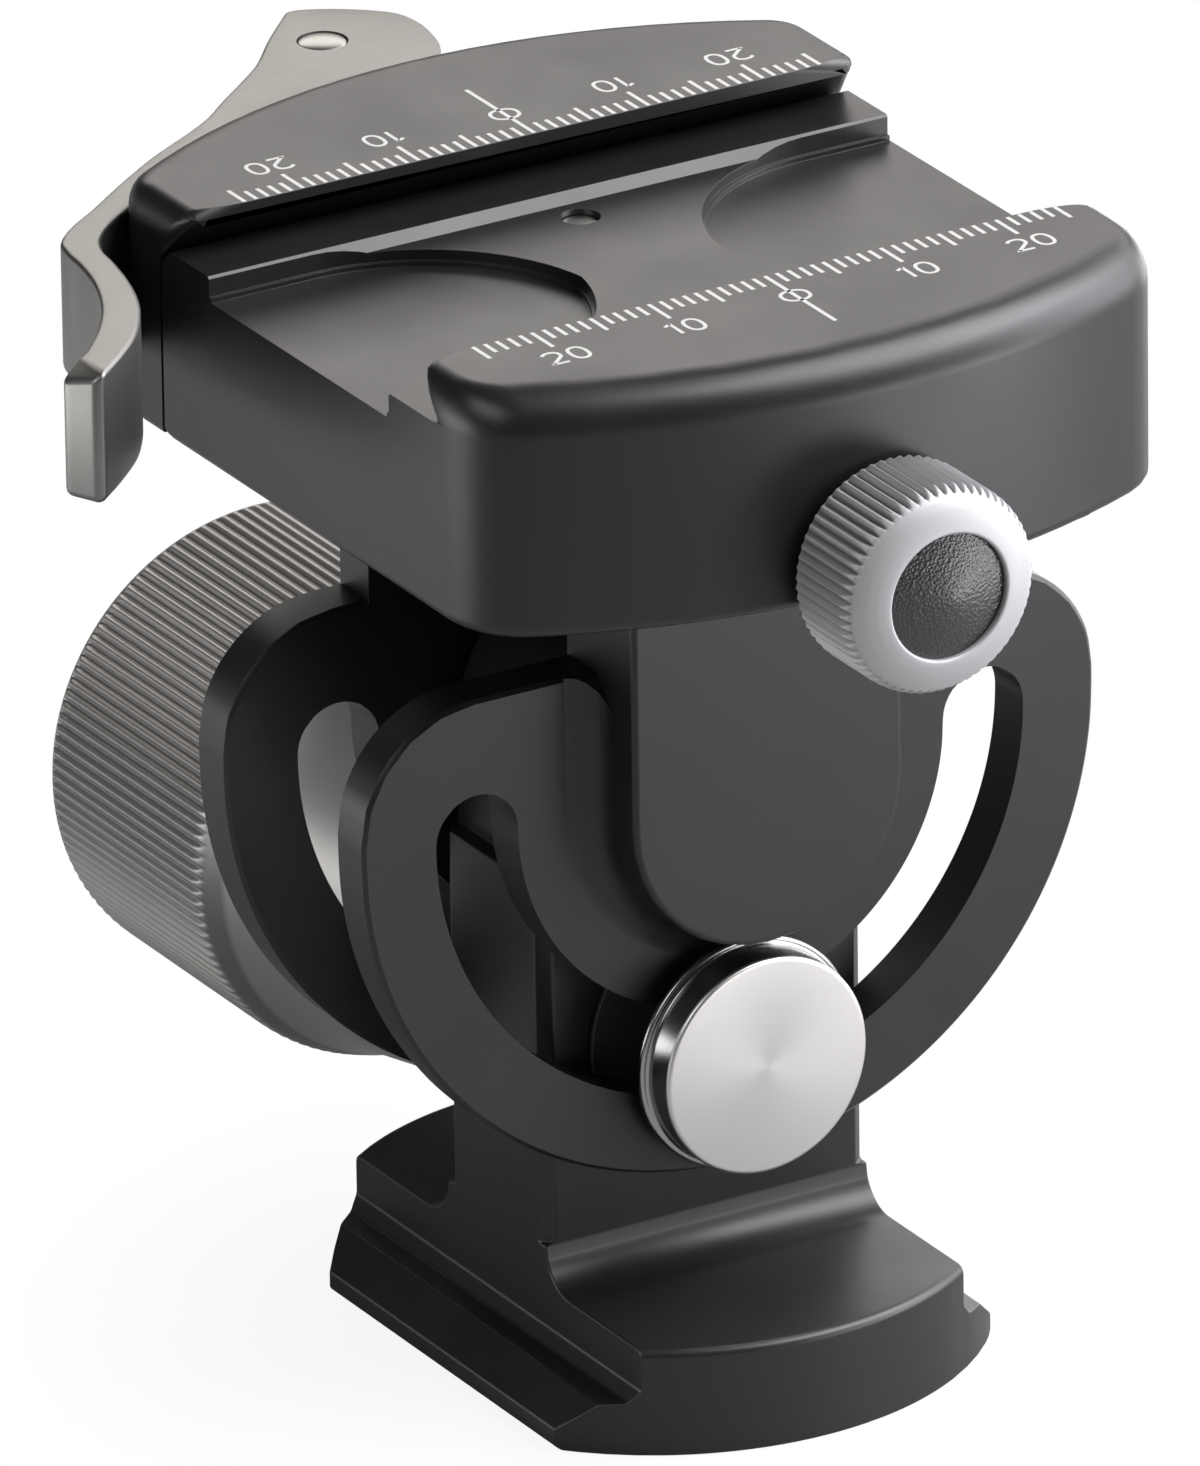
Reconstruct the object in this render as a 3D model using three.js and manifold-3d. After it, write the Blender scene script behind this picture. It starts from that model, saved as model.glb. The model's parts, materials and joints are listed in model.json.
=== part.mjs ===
import * as THREE from 'three';
import { mergeVertices } from 'three/addons/utils/BufferGeometryUtils.js';
import Module from 'manifold-3d';

const wasm = await Module();
wasm.setup();

// Monopod head: a sliding-jaw plate clamp on a swivel post, over a tilting yoke that
// straddles a column with a dovetail foot. Millimetres. X runs along the clamp channel,
// Y runs from the small lock knob to the large tilt knob, Z is up.
// Heights below are written from the plane of the two jaw tops, and the whole group is
// lifted at the end so that the origin lies on the island between the jaws.

// Clearances and facets
const run_gap = 0.06;
const seat_gap = 0.03;
const face_gap = 0.05;
const rest_gap = 0.3;
const overrun = 2;
const weld = 0.0001;
const fine_steps = 72;
const mid_steps = 36;
const small_steps = 18;
const small_limit = 3;
const mid_limit = 10.6;
const hex_sides = 6;

// Clamp body
const clamp_left = -30.2;
const clamp_right = 28.8;
const clamp_height = 19.2;
const near_apex = 33.2;
const near_arc_radius = 61.6;
const near_edge_round = 3.5;
const end_edge_share = 0.55;
const near_corner_round = 6.8;
const far_corner_round = 5;
const clamp_arc_steps = 20;
const corner_steps = 5;
const edge_steps = 6;
const channel_half = 16.4;
const land_height = 0.7;
const ledge_depth = 3.7;
const island_depth = 4.5;
const pocket_depth = 5.7;
const pocket_step_height = 0.4;
const pocket_step_width = 0.3;
const island_half = 12.5;
const pocket_half = 13.1;
const pocket_tip = 5.9;
const pocket_bow = 15.5;
const body_back = 20.2;
const undercut_gap = 0.6;

// Movable jaw
const far_apex = 35.9;
const far_arc_radius = 52.5;
const far_edge_round = 2.6;
const guide_pin_radius = 2;
const guide_pin_spacing = 42;
const guide_pin_depth = 11.5;
const guide_pin_root = 9;
const guide_pin_reach = 11;
const jaw_spring_radius = 2.2;
const jaw_spring_bore = 1.4;
const jaw_spring_spacing = 25;
const jaw_spring_length = 11;
const jaw_spring_in_jaw = 3.2;

// Pin in the channel floor
const floor_pin_hole = 1.55;
const floor_pin_radius = 1.4;
const floor_pin_y = 10;
const floor_hole_depth = 5.6;
const floor_pin_length = 3.4;
const floor_pin_drop = 0.5;
const floor_spring_radius = 1.2;
const floor_spring_bore = 0.6;

// Clamp lever, its pin and the draw rod
const lever_overhang = 18.2;
const cam_reach = 12;
const cam_gap = 0.1;
const lever_top = 3.3;
const lever_height = 10.5;
const lever_bevel_length = 2.2;
const lever_bevel_drop = 1.3;
const lever_pin_radius = 1.8;
const lever_pin_dome = 0.15;
const dome_ring_share = 0.6;
const dome_rise_share = 0.7;
const lever_pin_inset = 0.1;
const rod_radius = 2.4;
const rod_hole_gap = 0.2;
const rod_root = 12.6;
const rod_eye_radius = 4.2;
const rod_eye_height = 4.6;
const lever_slot_gap = 0.3;
const lever_slot_turn = 110;
const lever_slot_steps = 11;
// Outline of the lever seen from above, each point measured from the lever pin: the outer
// side from the tip of the thumb tab, the pivot lobe with its cam nose, and the inner side
// back to the tab. The sides are shares of the lever reach, the lobe of the cam reach.
const lever_outer_share = [
  [-1, -0.917], [-0.955, -0.901], [-0.905, -0.853], [-0.855, -0.789], [-0.822, -0.733],
  [-0.791, -0.657], [-0.775, -0.591], [-0.766, -0.529], [-0.752, -0.488], [-0.634, -0.391],
  [-0.477, -0.276], [-0.389, -0.222], [-0.316, -0.178], [-0.26, -0.13], [-0.18, -0.064],
];
const lever_cam_share = [
  [-0.557, -0.109], [-0.274, 0.218], [0.052, 0.561], [0.133, 0.553], [0.585, 0.242],
  [0.657, 0.133], [0.686, -0.048], [0.665, -0.242], [0.609, -0.444], [0.508, -0.617],
  [0.29, -0.883], [0.125, -0.952], [0, -0.984], [-0.29, -1], [-0.807, -0.94],
];
const lever_inner_share = [
  [-0.331, -0.248], [-0.413, -0.306], [-0.496, -0.36], [-0.618, -0.444], [-0.663, -0.478],
  [-0.696, -0.515], [-0.713, -0.553], [-0.722, -0.605], [-0.74, -0.681], [-0.765, -0.752],
  [-0.795, -0.809], [-0.837, -0.868], [-0.895, -0.926], [-0.958, -0.98], [-0.973, -0.976],
];

// Swivel post and its screw
const post_radius = 11;
const post_height = 6.5;
const groove_half = 1.6;
const groove_deep = 1.5;
const swivel_washer_height = 0.2;
const swivel_washer_rim = 0.4;
const post_screw_radius = 2.5;
const post_screw_head = 4.4;
const post_screw_head_height = 2.6;
const post_screw_length = 10.5;
const post_screw_socket = 2;
const post_screw_socket_deep = 1.6;

// Lock knob of the swivel
const lock_rise = 2.8;
const lock_back = 33.6;
const lock_length = 9.2;
const lock_radius = 8.2;
const lock_profile_share = [
  [0, 0.93], [0.045, 1], [0.74, 1], [0.83, 0.97], [0.9, 0.9], [0.95, 0.8], [0.985, 0.69], [1, 0.61],
];
const lock_cap_radius = 4.9;
const lock_cap_depth = 2.2;
const lock_cap_inset = 0.25;
const lock_cap_dish = 1;
const lock_screw_radius = 2;
const lock_screw_tip_radius = 0.9;
const lock_screw_tip_length = 1.3;
const lock_screw_in_knob = 6.6;
const lock_screw_point_gap = 0.25;

// Yoke: front arm with its tongue, rear arm and the block that joins them under the post
const tongue_front = 16.5;
const tongue_half = 11.7;
const tongue_flat = 2.8;
const cove_radius = 2.7;
const cove_steps = 5;
const plate_front = 11;
const plate_back = 7;
const plate_radius = 31.8;
const plate_shoulder_rise = 1.45;
const plate_corner = 9.7;
const plate_edge = 0.3;
const slot_inner = 18.5;
const slot_outer = 25.56;
const rear_front = 9.3;
const rear_back = 13.5;
const rear_neck_half = 19.2;
const block_height = 7.8;
const hub_gap = 2.05;
const rear_screw_radius = 2;
const rear_screw_head = 3.5;
const rear_screw_head_height = 2.2;
const rear_screw_spacing = 13;
const rear_screw_length = 13;
const rear_screw_depth = 3.8;
const rear_screw_socket = 1.6;
const rear_screw_socket_deep = 1.4;

// Tilt pin and its bushes
const tilt_pin_radius = 4;
const tilt_pin_front = 13.4;
const tilt_pin_inset = 0.2;
const bush_wall = 1.2;
const bush_length = 5.2;
const tilt_spacer_radius = 7.5;

// Column and dovetail foot
const base_offset = 0.5;
const column_depth = 14.3;
const column_half = 14.15;
const column_edge = 1;
const column_shoulder_depth = 7.75;
const hub_radius = 12.8;
const foot_gap = 8.35;
const foot_height = 8.6;
const foot_fillet = 3.25;
const fillet_steps = 5;
const foot_end_radius = 25.4;
const foot_half = 19.2;
const foot_land = 1.3;
const foot_bottom_edge = 0.4;
const foot_relief_half = 16.7;
const foot_relief_rise = 4.1;
const foot_neck_half = 15;
const foot_neck_rise = 4.3;
const foot_wall_rise = 5.3;
const thread_bore_radius = 5.5;
const thread_insert_wall = 1.4;
const thread_insert_length = 12;
const thread_insert_inset = 0.3;

// Tension bolt, washers and the large tilt knob
const bolt_radius = 3.45;
const disc_front = 15.8;
const disc_radius = 8.7;
const disc_height = 2.9;
const rim_radius = 9.3;
const rim_height = 0.7;
const bolt_collar_radius = 7.3;
const bolt_reach = 36;
const friction_radius = 10.05;
const friction_height = 0.95;
const friction_pocket_gap = 0.1;
const spacer_radius = 10;
const knob_washer_radius = 8.5;
const knob_washer_height = 0.6;
const knob_length = 46.2;
const knob_radius = 18.9;
const knob_profile_share = [
  [0, 0.69], [0.08, 0.74], [0.17, 0.79], [0.25, 0.825], [0.335, 0.862], [0.38, 0.891],
  [0.422, 0.926], [0.465, 0.968], [0.502, 1], [0.965, 1], [0.983, 0.975], [1, 0.93],
];
const knob_cavity_radius = 14.5;
const knob_cavity_depth = 20;
const knob_cap_height = 2;
const knob_insert_radius = 5.6;
const knob_insert_flange = 8;
const knob_insert_flange_height = 2;

// Where things meet, worked out from the sizes above
const post_bottom = -clamp_height - rest_gap;
const recess_top = post_bottom + post_height + swivel_washer_height + 2 * face_gap;
const jaw_front = body_back + rest_gap;
const lever_pin_y = far_apex + cam_reach + cam_gap;
const lever_reach = lever_overhang - clamp_left;
const undercut = ledge_depth - land_height;
const rod_level = -(lever_top + lever_height / 2);
const slot_middle = (slot_inner + slot_outer) / 2;
const slot_end_radius = (slot_outer - slot_inner) / 2;
const block_underside = post_bottom - block_height;
const tilt_level = block_underside - hub_gap - hub_radius;
const plate_shoulder = tilt_level + plate_shoulder_rise;
const plate_top = plate_shoulder + plate_corner;
const rear_screw_level = post_bottom - rear_screw_depth;
const bolt_level = tilt_level - slot_middle;
const column_shoulder = tilt_level - column_shoulder_depth;
const foot_plateau = tilt_level - plate_radius - foot_gap;
const foot_level = foot_plateau - foot_height;
const column_front = column_depth / 2 - base_offset;
const column_back = column_depth / 2 + base_offset;
const lock_level = lock_rise - clamp_height;
const knob_front = rear_back + knob_washer_height + 2 * face_gap;
const cavity_front = knob_front + knob_length - knob_cavity_depth;
const friction_front = face_gap - plate_back;
const friction_back = friction_front + friction_height;
const head_height = -foot_level;
const far = head_height;

// Finishes
const black_anodised = { color: 0x2b2a2c, roughness: 0.42, metalness: 0.6 };
const grey_anodised = { color: 0x8f8c89, roughness: 0.38, metalness: 0.9 };
const silver_matt = { color: 0xb4b4b8, roughness: 0.5, metalness: 0.9 };
const stainless = { color: 0xc8c6be, roughness: 0.28, metalness: 1 };
const dark_steel = { color: 0x35383f, roughness: 0.4, metalness: 0.8 };
const brass = { color: 0xb08d4a, roughness: 0.35, metalness: 1 };
const bronze = { color: 0x8a6a3c, roughness: 0.45, metalness: 0.9 };
const acetal = { color: 0x1b1c20, roughness: 0.6, metalness: 0 };
const cap_plastic = { color: 0x141416, roughness: 0.55, metalness: 0 };

const head = new THREE.Group();
const lifted = new THREE.Group();
lifted.position.z = island_depth;
head.add(lifted);

// A closed solid from a three.js geometry
function solid(geometry) {
  const bare = geometry.clone();
  bare.deleteAttribute('normal');
  bare.deleteAttribute('uv');
  const merged = mergeVertices(bare, weld);
  const spots = merged.attributes.position;
  const source = merged.index.array;
  const kept = [];
  let volume = 0;
  const a = new THREE.Vector3();
  const b = new THREE.Vector3();
  const c = new THREE.Vector3();
  for (let i = 0; i < source.length; i += 3) {
    const [p, q, r] = [source[i], source[i + 1], source[i + 2]];
    if (p === q || q === r || r === p) continue;
    kept.push(p, q, r);
    a.fromBufferAttribute(spots, p);
    b.fromBufferAttribute(spots, q);
    c.fromBufferAttribute(spots, r);
    volume += a.dot(b.cross(c));
  }
  if (volume < 0) kept.reverse();
  return new wasm.Manifold(new wasm.Mesh({
    numProp: 3,
    vertProperties: new Float32Array(spots.array),
    triVerts: new Uint32Array(kept),
  }));
}

// A named mesh in the scene from a finished solid
function piece(name, shape, finish) {
  const data = shape.getMesh();
  const geometry = new THREE.BufferGeometry();
  geometry.setAttribute('position', new THREE.BufferAttribute(new Float32Array(data.vertProperties), 3));
  geometry.setIndex(new THREE.BufferAttribute(new Uint32Array(data.triVerts), 1));
  geometry.computeVertexNormals();
  const mesh = new THREE.Mesh(geometry, new THREE.MeshStandardMaterial(finish));
  mesh.name = name;
  lifted.add(mesh);
  return mesh;
}

function joined(shapes) {
  return shapes.reduce((whole, next) => whole.add(next));
}

function without(whole, cuts) {
  return cuts.reduce((rest, cut) => rest.subtract(cut), whole);
}

function extruded(points, depth) {
  const shape = new THREE.Shape(points.map(([u, v]) => new THREE.Vector2(u, v)));
  return new THREE.ExtrudeGeometry(shape, { depth, bevelEnabled: false });
}

// Prisms along the three axes: outlines in x, y for Z, in y, z for X and in x, z for Y
function prism_z(points, bottom, top) {
  return solid(extruded(points, top - bottom).translate(0, 0, bottom));
}

function prism_x(points, left, right) {
  const turn = new THREE.Matrix4().set(0, 0, 1, left, 1, 0, 0, 0, 0, 1, 0, 0, 0, 0, 0, 1);
  return solid(extruded(points, right - left).applyMatrix4(turn));
}

function prism_y(points, front, back) {
  const turn = new THREE.Matrix4().set(1, 0, 0, 0, 0, 0, -1, back, 0, 1, 0, 0, 0, 0, 0, 1);
  return solid(extruded(points, back - front).applyMatrix4(turn));
}

function block(left, right, front, back, bottom, top) {
  const box = new THREE.BoxGeometry(right - left, back - front, top - bottom);
  return solid(box.translate((left + right) / 2, (front + back) / 2, (bottom + top) / 2));
}

// Points of an arc, angles in degrees, from the first angle to the last
function arc(cu, cv, radius, from, to, steps) {
  const points = [];
  for (let i = 0; i <= steps; i += 1) {
    const angle = THREE.MathUtils.degToRad(from + ((to - from) * i) / steps);
    points.push([cu + radius * Math.cos(angle), cv + radius * Math.sin(angle)]);
  }
  return points;
}

// Facets round a circle: few on pins and screws, more on large turned pieces
function facets(radius) {
  if (radius < small_limit) return small_steps;
  return radius < mid_limit ? mid_steps : fine_steps;
}

// A body turned about a vertical line, profile points as radius and height
function turned_z(profile, x, y, steps) {
  const line = profile.map(([radius, height]) => new THREE.Vector2(radius, height));
  const lathe = new THREE.LatheGeometry(line, steps);
  return solid(lathe.rotateX(Math.PI / 2).translate(x, y, 0));
}

// A body turned about a line along Y, profile points as radius and y
function turned_y(profile, x, z, steps) {
  const line = profile.map(([radius, along]) => new THREE.Vector2(radius, along));
  return solid(new THREE.LatheGeometry(line, steps).translate(x, 0, z));
}

function post_z(radius, x, y, bottom, top, steps = facets(radius)) {
  return turned_z([[0, bottom], [radius, bottom], [radius, top], [0, top]], x, y, steps);
}

function shaft_y(radius, x, z, front, back, steps = facets(radius)) {
  return turned_y([[0, front], [radius, front], [radius, back], [0, back]], x, z, steps);
}

// A body between rings of equally many points, closed by its first and last ring
function lofted(rings) {
  const count = rings[0].length;
  const spots = rings.flat(2);
  const faces = [];
  for (let k = 0; k + 1 < rings.length; k += 1) {
    for (let i = 0; i < count; i += 1) {
      const next = (i + 1) % count;
      const [low, high] = [k * count, (k + 1) * count];
      faces.push(low + i, low + next, high + next, low + i, high + next, high + i);
    }
  }
  const cap = THREE.ShapeUtils.triangulateShape(rings[0].map(([u, v]) => new THREE.Vector2(u, v)), []);
  const last = (rings.length - 1) * count;
  for (const [p, q, r] of cap) {
    faces.push(r, q, p, last + p, last + q, last + r);
  }
  const geometry = new THREE.BufferGeometry();
  geometry.setAttribute('position', new THREE.Float32BufferAttribute(spots, 3));
  geometry.setIndex(faces);
  return geometry;
}

// Turns a loft drawn in x, z with its depth along the third number into one along Y
function stood(geometry) {
  return geometry.applyMatrix4(new THREE.Matrix4().set(1, 0, 0, 0, 0, 0, -1, 0, 0, 1, 0, 0, 0, 0, 0, 1));
}

// Plan outline of one clamp half: straight inner side at y = inner, bowed outer side whose
// apex is at the given distance, rounded corners. The inset moves the outer sides in.
function clamp_outline(inner, apex, bow, corner_round, inset) {
  const corner = corner_round - inset;
  const outer = bow - inset;
  const centre = apex - bow;
  const end_inset = inset * end_edge_share;
  const points = [[clamp_left + end_inset, inner]];
  const reach = outer - corner;
  const left_x = clamp_left + end_inset + corner;
  const right_x = clamp_right - end_inset - corner;
  const left_angle = THREE.MathUtils.radToDeg(Math.acos(left_x / reach));
  const right_angle = THREE.MathUtils.radToDeg(Math.acos(right_x / reach));
  const left_y = centre + Math.sqrt(reach ** 2 - left_x ** 2);
  const right_y = centre + Math.sqrt(reach ** 2 - right_x ** 2);
  points.push(...arc(left_x, left_y, corner, 180, left_angle, corner_steps));
  points.push(...arc(0, centre, outer, left_angle, right_angle, clamp_arc_steps).slice(1, -1));
  points.push(...arc(right_x, right_y, corner, right_angle, 0, corner_steps));
  points.push([clamp_right - end_inset, inner]);
  return points;
}

// One clamp half with its top edge rounded; side is -1 for the near half, 1 for the far one
function clamp_half(inner, apex, bow, corner_round, round, side) {
  const rings = [];
  const levels = [[0, -clamp_height]];
  for (let i = 0; i <= edge_steps; i += 1) {
    const angle = (Math.PI / 2) * (i / edge_steps);
    levels.push([round * (1 - Math.cos(angle)), round * (Math.sin(angle) - 1)]);
  }
  for (const [inset, level] of levels) {
    const plan = clamp_outline(inner, apex, bow, corner_round, inset).map(([x, y]) => [x, side * y, level]);
    rings.push(side > 0 ? plan.reverse() : plan);
  }
  return solid(lofted(rings));
}

// Clamp body
const near_half = clamp_half(
  -body_back, near_apex, near_arc_radius, near_corner_round, near_edge_round, -1,
);
const channel = prism_x([
  [-channel_half, overrun],
  [-channel_half, -land_height],
  [-channel_half - undercut, -ledge_depth],
  [-island_half - (island_depth - ledge_depth), -ledge_depth],
  [-island_half, -island_depth],
  [island_half, -island_depth],
  [island_half + (island_depth - ledge_depth), -ledge_depth],
  [channel_half + undercut - undercut_gap, -ledge_depth],
  [body_back, -ledge_depth - (body_back - channel_half - undercut + undercut_gap)],
  [body_back + overrun, -ledge_depth - (body_back - channel_half - undercut + undercut_gap)],
  [body_back + overrun, overrun],
], clamp_left - overrun, clamp_right + overrun);

// End pocket: straight sides drawn together by two arcs that meet in a blunt point. The
// inset makes it narrower all round.
function end_pocket(side, inset, bottom) {
  const half = pocket_half - inset;
  const radius = pocket_bow - inset;
  const drop = pocket_bow - pocket_half;
  const reach = Math.sqrt(pocket_bow ** 2 - drop ** 2);
  const centre = pocket_tip + reach;
  const turn = THREE.MathUtils.radToDeg(Math.asin(drop / radius));
  const upper = arc(centre, -drop, radius, 90, 180 - turn, mid_steps / 2);
  const lower = arc(centre, drop, radius, 180 + turn, 270, mid_steps / 2);
  const outline = [[far, half], ...upper, ...lower.slice(1), [far, -half]];
  const placed = outline.map(([x, y]) => [side * x, side * y]);
  return prism_z(placed, bottom, overrun - ledge_depth);
}

const rod_bore = shaft_y(rod_radius + seat_gap, 0, rod_level, rod_root, body_back + overrun);
const body_cuts = [
  channel,
  post_z(post_radius + run_gap, 0, 0, -clamp_height - overrun, recess_top),
  shaft_y(lock_screw_radius + run_gap, 0, lock_level, -near_apex - overrun, 0),
  post_z(floor_pin_hole, 0, floor_pin_y, -island_depth - floor_hole_depth, 0),
  rod_bore,
];
for (const side of [-1, 1]) {
  body_cuts.push(end_pocket(side, 0, pocket_step_height - pocket_depth));
  body_cuts.push(end_pocket(side, pocket_step_width, -pocket_depth));
  const pin_x = (side * guide_pin_spacing) / 2;
  const spring_x = (side * jaw_spring_spacing) / 2;
  const pin_root = guide_pin_root - rest_gap;
  const spring_root = jaw_front + jaw_spring_in_jaw - jaw_spring_length - 2 * rest_gap;
  body_cuts.push(shaft_y(guide_pin_radius + seat_gap, pin_x, -guide_pin_depth, pin_root, far));
  body_cuts.push(shaft_y(jaw_spring_radius + face_gap, spring_x, rod_level, spring_root, far));
}
piece('clamp_body', without(near_half, body_cuts), black_anodised);

// Movable jaw
const far_half = clamp_half(0, far_apex, far_arc_radius, far_corner_round, far_edge_round, 1);
const jaw_relief = prism_x([
  [-overrun, -clamp_height - overrun],
  [jaw_front, -clamp_height - overrun],
  [jaw_front, channel_half - land_height - jaw_front],
  [channel_half, -land_height],
  [channel_half, overrun],
  [-overrun, overrun],
], clamp_left - overrun, clamp_right + overrun);
const jaw_cuts = [
  jaw_relief,
  shaft_y(rod_radius + rod_hole_gap, 0, rod_level, 0, far_apex + overrun),
];
for (const side of [-1, 1]) {
  const pin_x = (side * guide_pin_spacing) / 2;
  const spring_x = (side * jaw_spring_spacing) / 2;
  const pin_end = body_back + guide_pin_reach - overrun;
  const spring_end = jaw_front + jaw_spring_in_jaw;
  jaw_cuts.push(shaft_y(guide_pin_radius + run_gap, pin_x, -guide_pin_depth, 0, pin_end));
  jaw_cuts.push(shaft_y(jaw_spring_radius + face_gap, spring_x, rod_level, 0, spring_end));
}
piece('movable_jaw', without(far_half, jaw_cuts), black_anodised);

// Guide pins, springs behind the jaw, and the pin with its spring in the channel floor
for (const [side, word] of [[-1, 'left'], [1, 'right']]) {
  const pin_x = (side * guide_pin_spacing) / 2;
  const spring_x = (side * jaw_spring_spacing) / 2;
  const pin_end = body_back + guide_pin_reach - overrun - rest_gap;
  const guide = shaft_y(guide_pin_radius, pin_x, -guide_pin_depth, guide_pin_root, pin_end);
  piece(`guide_pin_${word}`, guide, stainless);
  const spring_end = jaw_front + jaw_spring_in_jaw - rest_gap;
  const spring_start = spring_end - jaw_spring_length;
  piece(`jaw_spring_${word}`, turned_y([
    [jaw_spring_bore, spring_start], [jaw_spring_radius, spring_start],
    [jaw_spring_radius, spring_end], [jaw_spring_bore, spring_end], [jaw_spring_bore, spring_start],
  ], spring_x, rod_level, small_steps), stainless);
}
const floor_pin_top = -island_depth - floor_pin_drop;
const floor_pin_bottom = floor_pin_top - floor_pin_length;
const floor_hole_bottom = -island_depth - floor_hole_depth;
const floor_pin = post_z(floor_pin_radius, 0, floor_pin_y, floor_pin_bottom, floor_pin_top);
piece('floor_pin', floor_pin, stainless);
piece('floor_pin_spring', turned_z([
  [floor_spring_bore, floor_hole_bottom + face_gap], [floor_spring_radius, floor_hole_bottom + face_gap],
  [floor_spring_radius, floor_pin_bottom - face_gap], [floor_spring_bore, floor_pin_bottom - face_gap],
  [floor_spring_bore, floor_hole_bottom + face_gap],
], 0, floor_pin_y, small_steps), stainless);

// Draw rod with its eye round the lever pin
const eye_bottom = rod_level - rod_eye_height / 2;
const eye_top = rod_level + rod_eye_height / 2;
const rod_shaft = shaft_y(rod_radius, 0, rod_level, rod_root + rest_gap, lever_pin_y);
const rod_flats = block(-far, far, rod_root, far, eye_bottom, eye_top);
const rod_eye = post_z(rod_eye_radius, 0, lever_pin_y, eye_bottom, eye_top);
const pin_hole = post_z(lever_pin_radius + seat_gap, 0, lever_pin_y, -far, far);
piece('draw_rod', rod_shaft.intersect(rod_flats).add(rod_eye).subtract(pin_hole), stainless);

// Lever pin with a low domed head
const pin_bottom = -lever_top - lever_height + lever_pin_inset;
const pin_shoulder = -lever_top;
piece('lever_pin', turned_z([
  [0, pin_bottom], [lever_pin_radius, pin_bottom], [lever_pin_radius, pin_shoulder],
  [lever_pin_radius * dome_ring_share, pin_shoulder + lever_pin_dome * dome_rise_share],
  [0, pin_shoulder + lever_pin_dome],
], 0, lever_pin_y, small_steps), stainless);

// Lever: pivot lobe, arm, double bend and thumb tab in one piece
const lever_points = [
  [lever_outer_share, lever_reach], [lever_cam_share, cam_reach], [lever_inner_share, lever_reach],
].flatMap(([shares, reach]) => shares.map(([u, v]) => [u * reach, lever_pin_y + v * reach]));
const lever_blank = prism_z(lever_points.reverse(), -lever_top - lever_height, -lever_top);
const lever_bevel = prism_y([
  [-lever_reach - overrun, -lever_top - lever_bevel_drop * (1 + overrun / lever_bevel_length)],
  [-lever_reach + lever_bevel_length, -lever_top],
  [-lever_reach + lever_bevel_length, -lever_top + overrun],
  [-lever_reach - overrun, -lever_top + overrun],
], 0, lever_pin_y / 2);
const slot_bottom = eye_bottom - lever_slot_gap;
const slot_top = eye_top + lever_slot_gap;
const lever_cuts = [
  lever_bevel,
  post_z(lever_pin_radius + run_gap, 0, lever_pin_y, -far, far),
  post_z(rod_eye_radius + lever_slot_gap, 0, lever_pin_y, slot_bottom, slot_top),
];
for (let i = 0; i <= lever_slot_steps; i += 1) {
  const half = rod_radius + lever_slot_gap;
  const sweep = new THREE.BoxGeometry(2 * half, lever_reach / 2, slot_top - slot_bottom);
  sweep.translate(0, -lever_reach / 4, (slot_top + slot_bottom) / 2);
  sweep.rotateZ(THREE.MathUtils.degToRad((lever_slot_turn * i) / lever_slot_steps));
  lever_cuts.push(solid(sweep.translate(0, lever_pin_y, 0)));
}
piece('clamp_lever', without(lever_blank, lever_cuts), stainless);

// Swivel post with its groove, the screw that holds it and the washer under the clamp
const post_top = post_bottom + post_height;
const socket_bottom = post_top - post_screw_head_height;
const groove_floor = post_radius - groove_deep;
const post = turned_z([
  [0, post_bottom], [post_radius, post_bottom], [post_radius, lock_level - groove_half],
  [groove_floor, lock_level], [post_radius, lock_level + groove_half],
  [post_radius, post_top], [0, post_top],
], 0, 0, fine_steps);
piece('swivel_post', without(post, [
  post_z(post_screw_head + seat_gap, 0, 0, socket_bottom, 0),
  post_z(post_screw_radius + seat_gap, 0, 0, -far, 0),
]), stainless);
const screw_top = post_top - face_gap;
const screw_seat = socket_bottom + seat_gap;
const screw_end = screw_seat - post_screw_length;
const post_screw = turned_z([
  [0, screw_end], [post_screw_radius, screw_end], [post_screw_radius, screw_seat],
  [post_screw_head, screw_seat], [post_screw_head, screw_top], [0, screw_top],
], 0, 0, small_steps);
const post_socket = post_z(post_screw_socket, 0, 0, screw_top - post_screw_socket_deep, 0, hex_sides);
piece('swivel_post_screw', post_screw.subtract(post_socket), dark_steel);
const washer_inner = post_screw_head + swivel_washer_rim;
const washer_outer = post_radius - swivel_washer_rim;
const washer_bottom = post_top + face_gap;
const washer_top = washer_bottom + swivel_washer_height;
piece('swivel_washer', turned_z([
  [washer_inner, washer_bottom], [washer_outer, washer_bottom], [washer_outer, washer_top],
  [washer_inner, washer_top], [washer_inner, washer_bottom],
], 0, 0, mid_steps), acetal);

// Lock knob, its cap and its screw
const lock_front = -lock_back - lock_length;
const lock_profile = lock_profile_share.map(([u, v]) => [v * lock_radius, -lock_back - u * lock_length]);
const lock_turned = turned_y([[0, -lock_back], ...lock_profile, [0, lock_front]], 0, lock_level, mid_steps);
const cap_seat = lock_front + lock_cap_depth;
const screw_head = -lock_back - lock_screw_in_knob;
piece('lock_knob', without(lock_turned, [
  shaft_y(lock_cap_radius + seat_gap, 0, lock_level, lock_front - overrun, cap_seat + seat_gap),
  shaft_y(lock_screw_radius + seat_gap, 0, lock_level, screw_head - far, 0),
]), silver_matt);
piece('lock_knob_cap', turned_y([
  [0, cap_seat], [lock_cap_radius, cap_seat], [lock_cap_radius, lock_front + lock_cap_inset],
  [0, lock_front + lock_cap_dish],
], 0, lock_level, mid_steps), cap_plastic);
const tip_end = -groove_floor - lock_screw_point_gap - lock_screw_tip_radius;
piece('lock_screw', turned_y([
  [0, screw_head], [lock_screw_radius, screw_head],
  [lock_screw_radius, tip_end - lock_screw_tip_length],
  [lock_screw_tip_radius, tip_end], [0, tip_end],
], 0, lock_level, small_steps), dark_steel);

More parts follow.
